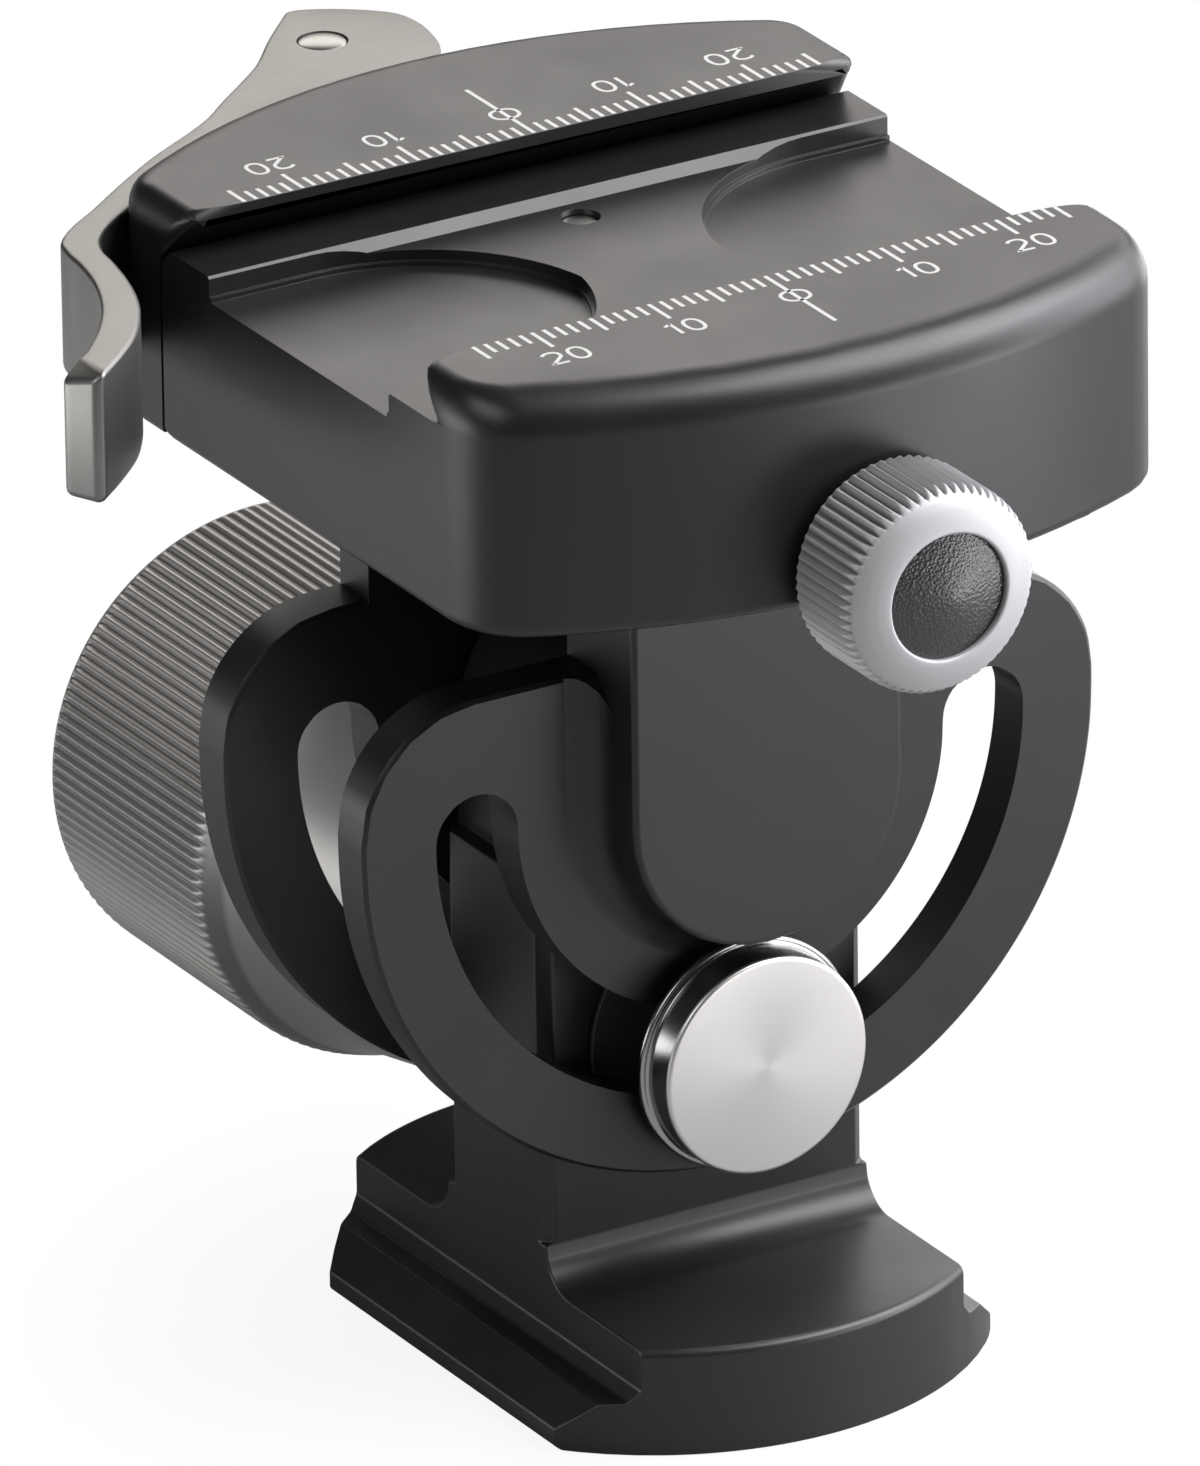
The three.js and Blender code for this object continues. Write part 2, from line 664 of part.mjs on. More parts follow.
// Outline of a yoke plate in x, z: round below, straight sides, rounded shoulders
function plate_outline(inset) {
  const shoulder_x = plate_radius - plate_corner;
  const corner = plate_corner - inset;
  const side = plate_radius - inset;
  const points = arc(0, tilt_level, side, -180, 0, mid_steps);
  points.push(...arc(shoulder_x, plate_shoulder, corner, 0, 90, corner_steps));
  points.push(...arc(-shoulder_x, plate_shoulder, corner, 90, 180, corner_steps));
  return points;
}

// A plate with chamfered edges on its two faces
function yoke_plate(front, back) {
  const rings = [
    [plate_edge, back], [0, back - plate_edge], [0, front + plate_edge], [plate_edge, front],
  ].map(([inset, y]) => plate_outline(inset).map(([x, z]) => [x, z, -y]));
  return solid(stood(lofted(rings)));
}

const arc_slot = prism_y([
  ...arc(0, tilt_level, slot_outer, -180, 0, mid_steps),
  ...arc(slot_middle, tilt_level, slot_end_radius, 0, 180, corner_steps * 2).slice(1, -1),
  ...arc(0, tilt_level, slot_inner, 0, -180, mid_steps),
  ...arc(-slot_middle, tilt_level, slot_end_radius, 0, 180, corner_steps * 2).slice(1, -1),
], -far, far);

function tongue_outline(grow, top) {
  const half = tongue_half + grow;
  return [...arc(0, tilt_level, half, -180, 0, small_steps), [half, top], [-half, top]];
}

// Front arm: plate, raised tongue with a cove round it, neck and the block behind the neck
const tongue_flat_end = tongue_front - tongue_flat;
const cove_rings = [[0, tongue_front], [0, tongue_flat_end]];
for (let i = 1; i <= cove_steps; i += 1) {
  const angle = (Math.PI / 2) * (i / cove_steps);
  cove_rings.push([cove_radius * (1 - Math.cos(angle)), tongue_flat_end - cove_radius * Math.sin(angle)]);
}
cove_rings.push([cove_radius, plate_front - plate_edge]);
const tongue_loft = cove_rings.map(([grow, y]) => {
  const top = plate_top - Math.min(Math.max(0, y - plate_front), cove_radius);
  return tongue_outline(grow, top).map(([x, z]) => [x, z, y]);
});
const tongue = solid(stood(lofted(tongue_loft.reverse())));
const neck = block(-tongue_half, tongue_half, -tongue_front, -plate_back, plate_shoulder, post_bottom);
const yoke_block = block(
  -tongue_half, tongue_half, -plate_front, rear_front - face_gap, block_underside, post_bottom,
);
const tilt_hole_front = -tilt_pin_front - rest_gap;
const screw_tip_level = screw_end - rest_gap;
const front_cuts = [
  arc_slot,
  shaft_y(tilt_pin_radius + seat_gap, 0, tilt_level, tilt_hole_front, 0),
  post_z(post_screw_radius + seat_gap, 0, 0, screw_tip_level, 0),
];
const rear_screw_seat = rear_back - rear_screw_head_height;
const rear_screw_end = rear_screw_seat - rear_screw_length;
for (const side of [-1, 1]) {
  const x = (side * rear_screw_spacing) / 2;
  const start = rear_screw_end - rest_gap;
  front_cuts.push(shaft_y(rear_screw_radius + seat_gap, x, rear_screw_level, start, far));
}
const front_blank = joined([yoke_plate(-plate_front, -plate_back), tongue, neck, yoke_block]);
piece('front_arm', without(front_blank, front_cuts), black_anodised);

// Rear arm with its wide neck, held to the block by two screws
const rear_neck = block(
  -rear_neck_half, rear_neck_half, rear_front, rear_back, plate_shoulder, post_bottom,
);
const rear_cuts = [
  arc_slot,
  shaft_y(tilt_pin_radius + seat_gap, 0, tilt_level, 0, far),
];
for (const side of [-1, 1]) {
  const x = (side * rear_screw_spacing) / 2;
  const seat = rear_screw_seat - seat_gap;
  rear_cuts.push(shaft_y(rear_screw_radius + seat_gap, x, rear_screw_level, 0, far));
  rear_cuts.push(shaft_y(rear_screw_head + seat_gap, x, rear_screw_level, seat, far));
}
piece('rear_arm', without(yoke_plate(rear_front, rear_back).add(rear_neck), rear_cuts), black_anodised);
for (const [side, word] of [[-1, 'left'], [1, 'right']]) {
  const x = (side * rear_screw_spacing) / 2;
  const head_end = rear_back - seat_gap;
  const screw = turned_y([
    [0, rear_screw_end], [rear_screw_radius, rear_screw_end], [rear_screw_radius, rear_screw_seat],
    [rear_screw_head, rear_screw_seat], [rear_screw_head, head_end], [0, head_end],
  ], x, rear_screw_level, small_steps);
  const socket_end = head_end - rear_screw_socket_deep;
  const socket = shaft_y(rear_screw_socket, x, rear_screw_level, socket_end, far, hex_sides);
  piece(`rear_arm_screw_${word}`, screw.subtract(socket), dark_steel);
}

// Tilt pin, fixed in the two arms, and the parts it turns in
const tilt_pin = shaft_y(
  tilt_pin_radius, 0, tilt_level, -tilt_pin_front, rear_back - tilt_pin_inset,
);
piece('tilt_pin', tilt_pin, stainless);
const bush_radius = tilt_pin_radius + run_gap + bush_wall;

function ring_y(inner, outer, z, front, back) {
  const wall = [[inner, front], [outer, front], [outer, back], [inner, back], [inner, front]];
  return turned_y(wall, 0, z, mid_steps);
}

const bush_bore = tilt_pin_radius + run_gap;
piece('tilt_bush_front', ring_y(
  bush_bore, bush_radius, tilt_level, -column_front, bush_length - column_front,
), bronze);
piece('tilt_bush_rear', ring_y(
  bush_bore, bush_radius, tilt_level, column_back - bush_length, column_back,
), bronze);
piece('tilt_spacer', ring_y(
  bush_bore, tilt_spacer_radius, tilt_level, column_back + face_gap, rear_front - face_gap,
), acetal);

// Column with its round hub, standing on the dovetail foot
const column_points = [
  [-column_half + column_edge, -column_front],
  [column_half - column_edge, -column_front],
  [column_half, column_edge - column_front],
  [column_half, column_back - column_edge],
  [column_half - column_edge, column_back],
  [-column_half + column_edge, column_back],
  [-column_half, column_back - column_edge],
  [-column_half, column_edge - column_front],
];
const column = prism_z(column_points, foot_plateau - overrun, column_shoulder);
const hub = shaft_y(hub_radius, 0, tilt_level, -column_front, column_back);
const hub_web = block(
  -hub_radius, hub_radius, -column_front, column_back, column_shoulder - overrun, tilt_level,
);
const foot_profile = [
  [foot_half, foot_level + foot_bottom_edge],
  [foot_half, foot_level + foot_bottom_edge + foot_land],
  [foot_relief_half, foot_level + foot_relief_rise],
  [foot_neck_half, foot_level + foot_neck_rise],
  [column_half, foot_level + foot_wall_rise],
  [column_half, foot_plateau],
];
const foot_right = [[foot_half - foot_bottom_edge, foot_level], ...foot_profile];
const foot_left = foot_right.map(([x, z]) => [-x, z]).reverse();
const foot_reach = foot_half + foot_end_radius;
const foot_bar = prism_y([...foot_left, ...foot_right], -foot_reach, foot_reach);
const foot_round = post_z(foot_end_radius, 0, base_offset, foot_level - overrun, foot_plateau + overrun);

// Fillet between the column face at the given y and the foot, side -1 in front, 1 behind
function foot_web(face, side) {
  const from = side > 0 ? 270 : -90;
  const to = side > 0 ? 180 : 0;
  const [inside, outside] = [face - side * overrun, face + side * foot_fillet];
  const [below, above] = [foot_plateau - overrun, foot_plateau + foot_fillet];
  const curve = arc(outside, above, foot_fillet, from, to, fillet_steps);
  return prism_x([[inside, below], [outside, below], ...curve, [inside, above]], -column_half, column_half);
}

const thread_bore_top = foot_level + thread_insert_inset + thread_insert_length + rest_gap;
const foot_blank = joined([
  foot_bar.intersect(foot_round), column, hub, hub_web,
  foot_web(-column_front, -1), foot_web(column_back, 1),
]);
piece('foot_column', without(foot_blank, [
  shaft_y(bush_radius + seat_gap, 0, tilt_level, -far, far)
    .subtract(shaft_y(far, 0, tilt_level, bush_length - column_front, column_back - bush_length)),
  shaft_y(bush_bore, 0, tilt_level, -far, far),
  shaft_y(bolt_radius + seat_gap, 0, bolt_level, -far, far),
  shaft_y(friction_radius + friction_pocket_gap, 0, bolt_level, -far, friction_back + face_gap),
  post_z(thread_bore_radius + seat_gap, 0, base_offset, foot_level - overrun, thread_bore_top),
]), black_anodised);
const insert_bore = thread_bore_radius - thread_insert_wall;
const insert_bottom = foot_level + thread_insert_inset;
const insert_top = insert_bottom + thread_insert_length;
piece('foot_thread_insert', turned_z([
  [insert_bore, insert_bottom], [thread_bore_radius, insert_bottom],
  [thread_bore_radius, insert_top], [insert_bore, insert_top], [insert_bore, insert_bottom],
], 0, base_offset, mid_steps), stainless);

// Tension bolt: polished disc head, dark rim, shank through both slots and the column
const disc_back = disc_height - disc_front;
const rim_back = disc_back + rim_height;
const bolt_seat = -plate_front - face_gap;
const bolt_collar = ring_y(
  bolt_radius + seat_gap, bolt_collar_radius, bolt_level, rim_back + seat_gap, bolt_seat,
);
piece('tension_bolt', turned_y([
  [0, -disc_front], [disc_radius, -disc_front], [disc_radius, disc_back], [rim_radius, disc_back],
  [rim_radius, rim_back], [bolt_radius, rim_back], [bolt_radius, bolt_reach], [0, bolt_reach],
], 0, bolt_level, mid_steps), stainless);
piece('bolt_collar', bolt_collar, dark_steel);
piece('friction_washer', ring_y(
  bolt_radius + seat_gap, friction_radius, bolt_level, friction_front, friction_back,
), acetal);
piece('bolt_spacer', ring_y(
  bolt_radius + seat_gap, spacer_radius, bolt_level, column_back + face_gap, rear_front - face_gap,
), acetal);
piece('knob_washer', ring_y(
  bolt_radius + seat_gap, knob_washer_radius, bolt_level,
  rear_back + face_gap, rear_back + face_gap + knob_washer_height,
), acetal);

// Large tilt knob: turned shell, threaded insert and end cap
const knob_back = knob_front + knob_length;
const knob_points = knob_profile_share.map(([u, v]) => [v * knob_radius, knob_front + u * knob_length]);
const knob_turned = turned_y([[0, knob_front], ...knob_points, [0, knob_back]], 0, bolt_level, fine_steps);
const cap_front = knob_back - knob_cap_height;
const insert_flange_front = cavity_front + seat_gap;
const insert_flange_back = insert_flange_front + knob_insert_flange_height;
piece('tilt_knob', without(knob_turned, [
  shaft_y(knob_cavity_radius + seat_gap, 0, bolt_level, cavity_front, far),
  shaft_y(knob_insert_radius + seat_gap, 0, bolt_level, 0, far),
]), grey_anodised);
piece('tilt_knob_cap', shaft_y(
  knob_cavity_radius, 0, bolt_level, cap_front, knob_back - seat_gap,
), grey_anodised);
const insert_turned = turned_y([
  [0, knob_front + face_gap], [knob_insert_radius, knob_front + face_gap],
  [knob_insert_radius, insert_flange_front], [knob_insert_flange, insert_flange_front],
  [knob_insert_flange, insert_flange_back], [0, insert_flange_back],
], 0, bolt_level, mid_steps);
piece('tilt_knob_insert', insert_turned.subtract(
  shaft_y(bolt_radius + run_gap, 0, bolt_level, 0, bolt_reach + rest_gap),
), brass);

export default head;
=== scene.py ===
"""Looks of a monopod head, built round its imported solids. Metres, +Z up."""

import json
import math

import bmesh
import bpy
from mathutils import Matrix, Vector


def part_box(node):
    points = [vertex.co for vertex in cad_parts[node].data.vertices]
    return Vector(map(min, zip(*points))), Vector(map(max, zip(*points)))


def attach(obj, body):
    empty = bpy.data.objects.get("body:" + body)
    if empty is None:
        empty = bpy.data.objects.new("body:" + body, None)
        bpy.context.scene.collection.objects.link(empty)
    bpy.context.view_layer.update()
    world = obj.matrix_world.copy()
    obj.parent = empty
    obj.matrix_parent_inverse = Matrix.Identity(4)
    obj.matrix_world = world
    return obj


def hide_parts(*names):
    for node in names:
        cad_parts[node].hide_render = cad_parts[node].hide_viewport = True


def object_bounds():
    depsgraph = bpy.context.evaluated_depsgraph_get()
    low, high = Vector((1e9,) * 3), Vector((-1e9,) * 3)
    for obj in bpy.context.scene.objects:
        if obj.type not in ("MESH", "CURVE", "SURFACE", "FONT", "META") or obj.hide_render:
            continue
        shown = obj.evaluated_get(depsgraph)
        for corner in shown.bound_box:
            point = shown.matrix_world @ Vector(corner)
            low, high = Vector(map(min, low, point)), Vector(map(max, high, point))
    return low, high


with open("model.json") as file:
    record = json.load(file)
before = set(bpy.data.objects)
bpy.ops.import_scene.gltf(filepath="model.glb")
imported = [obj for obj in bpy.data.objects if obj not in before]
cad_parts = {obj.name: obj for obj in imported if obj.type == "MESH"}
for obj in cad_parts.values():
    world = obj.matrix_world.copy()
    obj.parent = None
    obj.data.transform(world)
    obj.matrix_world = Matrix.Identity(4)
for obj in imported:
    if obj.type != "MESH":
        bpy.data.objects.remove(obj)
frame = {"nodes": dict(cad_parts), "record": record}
cad_low, cad_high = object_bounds()

MM = 0.001
WELD = 0.001 * MM
BODIES = frame["record"]["behaviour"]["bodies"]
BODY_OF = {node: body for body, nodes in BODIES.items() for node in nodes}
SLOT_OF = {part["node"]: part["material_slot"] for part in frame["record"]["subparts"]}

# Smoothing: angle under which facets count as one face, bends of a curved wall, cuts in its
# facets, angle from which an edge is broken, steps of its rounding, weight of large faces
FLAT_ANGLE = math.radians(0.6)
WALL_BENDS = (math.radians(2), math.radians(26))
WALL_CUTS = 2
EDGE_ANGLE = math.radians(34)
EDGE_STEPS = 3
NORMAL_WEIGHT = 80

# Angles in degrees over which shading stays sharp
SHARP_MACHINED = 34
SHARP_KNOB = 50
SHARP_CAP = 40
SHARP_LEVER = 30
SHARP_PIN = 35
SHARP_TURNED = 32

# Photograph: size in pixels, and the long lens that fits it
PHOTO_WIDTH = 1200
PHOTO_HEIGHT = 1466
CAMERA_AZIMUTH = math.radians(-30.63)
CAMERA_ELEVATION = math.radians(23.663)
CAMERA_ROLL = math.radians(-0.785)
CAMERA_DISTANCE = 1824.13 * MM
PIXELS_PER_MM = 13.485
AIM_PIXEL = (648.73, 203.88)
SENSOR = 36.0

# Studio: light of the surroundings, tone of the floor for the camera and for all other rays,
# distances between which the floor fades to white, its size and its place under the object
WORLD_LIGHT = 0.04
FLOOR_SEEN = 0.9
FLOOR_BOUNCE = 0.38
FLOOR_GLOW = (0.0, 0.1)
FLOOR_HALF = 3.0
FLOOR_DROP = 0.05 * MM
COOL = (0.98, 0.965, 1.0)
COOLER = (0.975, 0.955, 1.0)
WARM = (1.0, 0.965, 0.925)
WHITE = (1, 1, 1)

# Scales on the two jaws: graduations each way from zero, and the numbers beside them
TICK_COUNT = 25
TICK_STEP = 1.0 * MM
TICK_WIDTH = 0.34 * MM
TICK_START = 0.15 * MM
TICK_LENGTH = 1.9 * MM
TICK_MEDIUM = 2.7 * MM
TICK_LONG = 3.3 * MM
ZERO_LENGTH = 10.2 * MM
MARK_RISE = 0.006 * MM
DIGIT_HEIGHT = 2.4 * MM
DIGIT_WIDTH = 1.65 * MM
DIGIT_GAP = 0.4 * MM
DIGIT_STROKE = 0.3 * MM
DIGIT_OFFSET = 5.2 * MM
ZERO_OFFSET = 4.5 * MM
ZERO_HALF_WIDTH = 1.1 * MM
ZERO_HALF_HEIGHT = 0.95 * MM
ONE_PITCH = 0.86
OVAL_POWER = 0.85

# Clamp: channel between the jaws, land and undercut of a jaw, and where its tips begin
CHANNEL_HALF = 16.4 * MM
LAND_HEIGHT = 0.7 * MM
UNDERCUT = 3.0 * MM
TIP_SLACK = 0.08 * MM
JAW_TIP_FROM = 20 * MM
UNDERSIDE_HOLE = 14 * MM
UNDERSIDE_SLACK = 0.02 * MM

# Wider roundings: width in millimetres, and steps
TIP_ROUNDING = (1.2, 5)
UNDERSIDE_ROUNDING = (0.9, 4)
TONGUE_ROUNDING = (0.5, 3)
FOOT_ROUNDING = (0.65, 3)

# Foot: level of its top, and the circle that both of its ends follow
FOOT_TOP = -77.8 * MM
FOOT_TOP_SLACK = 0.02 * MM
FOOT_RADIUS = 25.4 * MM
FOOT_RADIUS_SLACK = 0.06 * MM
FOOT_CENTRE_Y = 0.5 * MM

# Knobs: profiles as shares of the length and of the radius, counted from the front of the large
# knob and from the back of the small one; the ribs lie between two shares of the length
BIG_PROFILE = (
    (0, 0.69), (0.08, 0.74), (0.17, 0.79), (0.25, 0.825), (0.335, 0.862), (0.38, 0.891),
    (0.422, 0.926), (0.465, 0.968), (0.502, 1), (0.965, 1), (0.983, 0.975), (1, 0.93),
)
BIG_RIBS = 124
BIG_RIB_DEPTH = 0.34 * MM
BIG_RIBS_SPAN = (0.44, 0.972)
BIG_SHOULDER_END = 0.53
BIG_BORE_DEPTH = 0.3 * MM
BIG_BORE_SHARE = 0.65
BIG_FINE_STEP = 0.35 * MM
BIG_COARSE_STEP = 4 * MM
BIG_CORNER = 0.5 * MM
SMALL_PROFILE = (
    (0, 0.93), (0.045, 1), (0.74, 1), (0.8, 0.985), (0.85, 0.955), (0.9, 0.9), (0.94, 0.83),
    (0.975, 0.74), (0.995, 0.66), (1, 0.62),
)
SMALL_RIBS = 62
SMALL_RIB_DEPTH = 0.55 * MM
SMALL_RIBS_SPAN = (0.02, 0.97)
SMALL_PLAIN_FROM = 0.8
SMALL_FRONT_DROP = 0.45 * MM
SMALL_LIP = 0.1 * MM
SMALL_STEP = 0.3 * MM
SMALL_CORNER = 0.3 * MM
RIB_POINTS = 8

# Caps: play round them, dish of the large one with the shares of its radius where the dish
# begins and ends, fall of the small one's face and the curve that it follows
CAP_PLAY = 0.03 * MM
CAP_DISH = 0.35 * MM
CAP_DISH_SHARES = (0.93, 0.9)
CAP_CORNER = 0.25 * MM
CAP_DOME = 0.9 * MM
CAP_CURVE = 1.35
CAP_STEPS = 16
CAP_ROUND_STEPS = 96
ROUND_STEPS = 144

# Bolt with the disc head: ledge behind the disc, depth of the disc, of the rim, shank, corners
DISC_LEDGE = 0.6 * MM
DISC_DEPTH = 2.9 * MM
RIM_DEPTH = 0.7 * MM
SHANK_RADIUS = 3.45 * MM
DISC_CORNER = 0.35 * MM
DISC_SLACK = 0.1 * MM

# Lever: bend that counts as a corner and its rounding, soft edges, slope at the tab with the
# places where it is divided and its knee, pin with its hole, inner slot for the rod
LEVER_CORNER = math.radians(42)
LEVER_CORNER_REACH = 0.9 * MM
LEVER_STEPS = 7
LEVER_TOP_EDGE = 0.4 * MM
LEVER_BOTTOM_EDGE = 0.8 * MM
LEVER_EDGE_TURNS = (0, 22.5, 45, 67.5, 90)
TAB_CUTS = (0.15, 0.4, 0.7, 0.9, 1.0, 1.1, 1.25)
TAB_SLOPE_LENGTH = 2.2 * MM
TAB_SLOPE_DROP = 1.3 * MM
TAB_KNEE = 0.12
PIN_HOLE = 1.98 * MM
PIN_HEAD = 1.88 * MM
PIN_DOME = 0.2 * MM
PIN_DOME_TURNS = range(0, 90, 8)
EYE_SLOT_RADIUS = 4.5 * MM
ROD_SLOT_HALF = 2.7 * MM
ROD_SLOT_REACH = 20 * MM
ROD_SLOT_TURN = math.radians(20)
SLOT_HEIGHT = 5.2 * MM


def collect(obj):
    """Puts an object into the scene."""
    bpy.context.scene.collection.objects.link(obj)
    return obj


def mesh_object(name, points, faces):
    """An object made of points and faces."""
    mesh = bpy.data.meshes.new(name)
    mesh.from_pydata([tuple(p) for p in points], [], faces)
    mesh.validate()
    return collect(bpy.data.objects.new(name, mesh))


def fix_to(obj, node, material, replace=True):
    """Gives a piece its material and its body, and lets it stand for its CAD node."""
    obj.data.materials.clear()
    obj.data.materials.append(material)
    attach(obj, BODY_OF[node])
    if replace:
        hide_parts(node)


def smooth(obj, angle):
    """Smooth shading, sharp where two faces meet at more than the angle in degrees."""
    mesh = obj.data
    mesh.shade_smooth()
    mesh.set_sharp_from_angle(angle=math.radians(angle))


def apply_modifiers(obj):
    """Turns what the modifiers make into the mesh itself."""
    bpy.context.view_layer.update()
    graph = bpy.context.evaluated_depsgraph_get()
    finished = bpy.data.meshes.new_from_object(obj.evaluated_get(graph))
    obj.modifiers.clear()
    obj.data = finished


def bent(start, end, start_normal, end_normal, t):
    """Point at t on the curve between two points that stands square to both normals."""
    along = end - start
    first = (start * 2 + end - start_normal * along.dot(start_normal)) / 3
    second = (end * 2 + start + end_normal * along.dot(end_normal)) / 3
    u = 1 - t
    return start * u ** 3 + first * 3 * u * u * t + second * 3 * u * t * t + end * t ** 3


def refine_walls(form, low, high):
    """Divides the facets of curved walls and bends them to the curve that they stand for."""
    form.normal_update()
    least, most = WALL_BENDS
    ribs = {}
    for edge in form.edges:
        if len(edge.link_faces) == 2 and least < edge.calc_face_angle(0) < most:
            length = edge.calc_length()
            normal = Vector()
            for face in edge.link_faces:
                normal += face.normal * (face.calc_area() / length) ** 2
            ribs[edge] = normal.normalized()
    curves = {}
    for face in form.faces:
        across = [edge for edge in face.edges if edge in ribs]
        if len(face.edges) != 4 or not across:
            continue
        if len(across) > 1 and set(across[0].verts) & set(across[-1].verts):
            continue
        normals = {vert: ribs[edge] for edge in across for vert in edge.verts}
        for edge in face.edges:
            if edge not in ribs and any(v in normals for v in edge.verts):
                curves[edge] = [normals.get(v, face.normal.copy()) for v in edge.verts]
    places = {}
    for edge, (start_normal, end_normal) in curves.items():
        start, end = edge.verts[0].co.copy(), edge.verts[1].co.copy()
        for i in range(1, WALL_CUTS + 1):
            t = i / (WALL_CUTS + 1)
            place = bent(start, end, start_normal, end_normal, t)
            held = Vector((min(max(p, a), b) for p, a, b in zip(place, low, high)))
            places[tuple(round(c / WELD) for c in start.lerp(end, t))] = held
    bmesh.ops.subdivide_edges(form, edges=list(curves), cuts=WALL_CUTS, use_grid_fill=True)
    for vert in form.verts:
        place = places.get(tuple(round(c / WELD) for c in vert.co))
        if place is not None:
            vert.co = place


def dressed(node, material, edge, wide=(), refine=False):
    """A copy of a CAD solid with its edges broken by a width in millimetres and its facets
    smoothed. Each entry of wide chooses edges by their two ends and gives them a rounding."""
    mesh = frame["nodes"][node].data.copy()
    form = bmesh.new()
    form.from_mesh(mesh)
    bmesh.ops.remove_doubles(form, verts=form.verts, dist=WELD)
    bmesh.ops.dissolve_limit(form, angle_limit=FLAT_ANGLE, verts=form.verts, edges=form.edges)
    if refine:
        refine_walls(form, *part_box(node))
    for chosen, (width, steps) in wide:
        edges = [edge for edge in form.edges if chosen(edge.verts[0].co, edge.verts[1].co)]
        bmesh.ops.bevel(
            form, geom=edges, offset=width * MM, offset_type="OFFSET", segments=steps,
            profile=0.5, affect="EDGES", clamp_overlap=False,
        )
    form.to_mesh(mesh)
    form.free()
    obj = collect(bpy.data.objects.new(f"{node}_look", mesh))
    bevel = obj.modifiers.new("edges", "BEVEL")
    bevel.width = edge * MM
    bevel.segments = EDGE_STEPS
    bevel.limit_method = "ANGLE"
    bevel.angle_limit = EDGE_ANGLE
    bevel.use_clamp_overlap = True
    bevel.miter_outer = "MITER_ARC"
    apply_modifiers(obj)
    smooth(obj, SHARP_MACHINED)
    weighted = obj.modifiers.new("normals", "WEIGHTED_NORMAL")
    weighted.mode = "FACE_AREA"
    weighted.keep_sharp = True
    weighted.weight = NORMAL_WEIGHT
    apply_modifiers(obj)
    fix_to(obj, node, material)


# Materials

def new_material(name):
    """A material with its nodes, links and shader."""
    material = bpy.data.materials.new(name)
    material.use_nodes = True
    tree = material.node_tree
    return material, tree.nodes, tree.links, tree.nodes["Principled BSDF"]


def noise(nodes, links, source, scale, detail=2.0, roughness=0.5):
    """Grain of a scale, from 0 to 1."""
    node = nodes.new("ShaderNodeTexNoise")
    node.inputs["Scale"].default_value = scale
    node.inputs["Detail"].default_value = detail
    node.inputs["Roughness"].default_value = roughness
    links.new(source, node.inputs["Vector"])
    return node.outputs["Fac"]


def remapped(nodes, links, value, low, high, from_low=0.3, from_high=0.7):
    """A value taken from one range to another and held there."""
    node = nodes.new("ShaderNodeMapRange")
    node.inputs["From Min"].default_value = from_low
    node.inputs["From Max"].default_value = from_high
    node.inputs["To Min"].default_value = low
    node.inputs["To Max"].default_value = high
    links.new(value, node.inputs["Value"])
    return node.outputs["Result"]


def shaded(color, share):
    """A colour with its channels multiplied."""
    return [c * share for c in color]


def tinted(nodes, links, factor, dark, light):
    """Colour between a dark one and a light one."""
    node = nodes.new("ShaderNodeMix")
    node.data_type = "RGBA"
    node.inputs["A"].default_value = (*dark, 1.0)
    node.inputs["B"].default_value = (*light, 1.0)
    links.new(factor, node.inputs["Factor"])
    return node.outputs["Result"]


def bumped(nodes, links, height, strength, depth, normal=None):
    """Normal tilted by a height, over another normal where one is given."""
    node = nodes.new("ShaderNodeBump")
    node.inputs["Strength"].default_value = strength
    node.inputs["Distance"].default_value = depth
    links.new(height, node.inputs["Height"])
    if normal:
        links.new(normal, node.inputs["Normal"])
    return node.outputs["Normal"]


def object_place(nodes):
    """Place on the object in metres."""
    return nodes.new("ShaderNodeTexCoord").outputs["Object"]


def blasted(name, color, metallic, roughness, grain=0.12, depth=0.004, spread=0.08, specular=0.5):
    """Metal with a fine blasted grain: tiny pits, slow changes of tone and gloss."""
    material, nodes, links, shader = new_material(name)
    place = object_place(nodes)
    fine = noise(nodes, links, place, 1 / (grain * MM), 2.0, 0.6)
    slow = noise(nodes, links, place, 1 / (9 * MM), 3.0, 0.55)
    tone = tinted(nodes, links, slow, shaded(color, 1 - spread), shaded(color, 1 + spread))
    gloss = remapped(nodes, links, slow, roughness - 0.03, roughness + 0.03)
    links.new(tone, shader.inputs["Base Color"])
    links.new(gloss, shader.inputs["Roughness"])
    links.new(bumped(nodes, links, fine, 0.5, depth * MM), shader.inputs["Normal"])
    shader.inputs["Metallic"].default_value = metallic
    shader.inputs["Specular IOR Level"].default_value = specular
    return material


def brushed(name, color, metallic, roughness, along, stretch=40, depth=0.004, spread=0.06):
    """Metal with a grain drawn out along one axis."""
    material, nodes, links, shader = new_material(name)
    mapping = nodes.new("ShaderNodeMapping")
    scale = [1.0 / stretch if axis == along else 1.0 for axis in range(3)]
    mapping.inputs["Scale"].default_value = scale
    links.new(object_place(nodes), mapping.inputs["Vector"])
    grain = noise(nodes, links, mapping.outputs["Vector"], 1 / (0.11 * MM), 3.0, 0.6)
    tone = tinted(nodes, links, grain, shaded(color, 1 - spread), shaded(color, 1 + spread))
    gloss = remapped(nodes, links, grain, roughness - 0.05, roughness + 0.05)
    links.new(tone, shader.inputs["Base Color"])
    links.new(gloss, shader.inputs["Roughness"])
    links.new(bumped(nodes, links, grain, 0.35, depth * MM), shader.inputs["Normal"])
    shader.inputs["Metallic"].default_value = metallic
    return material


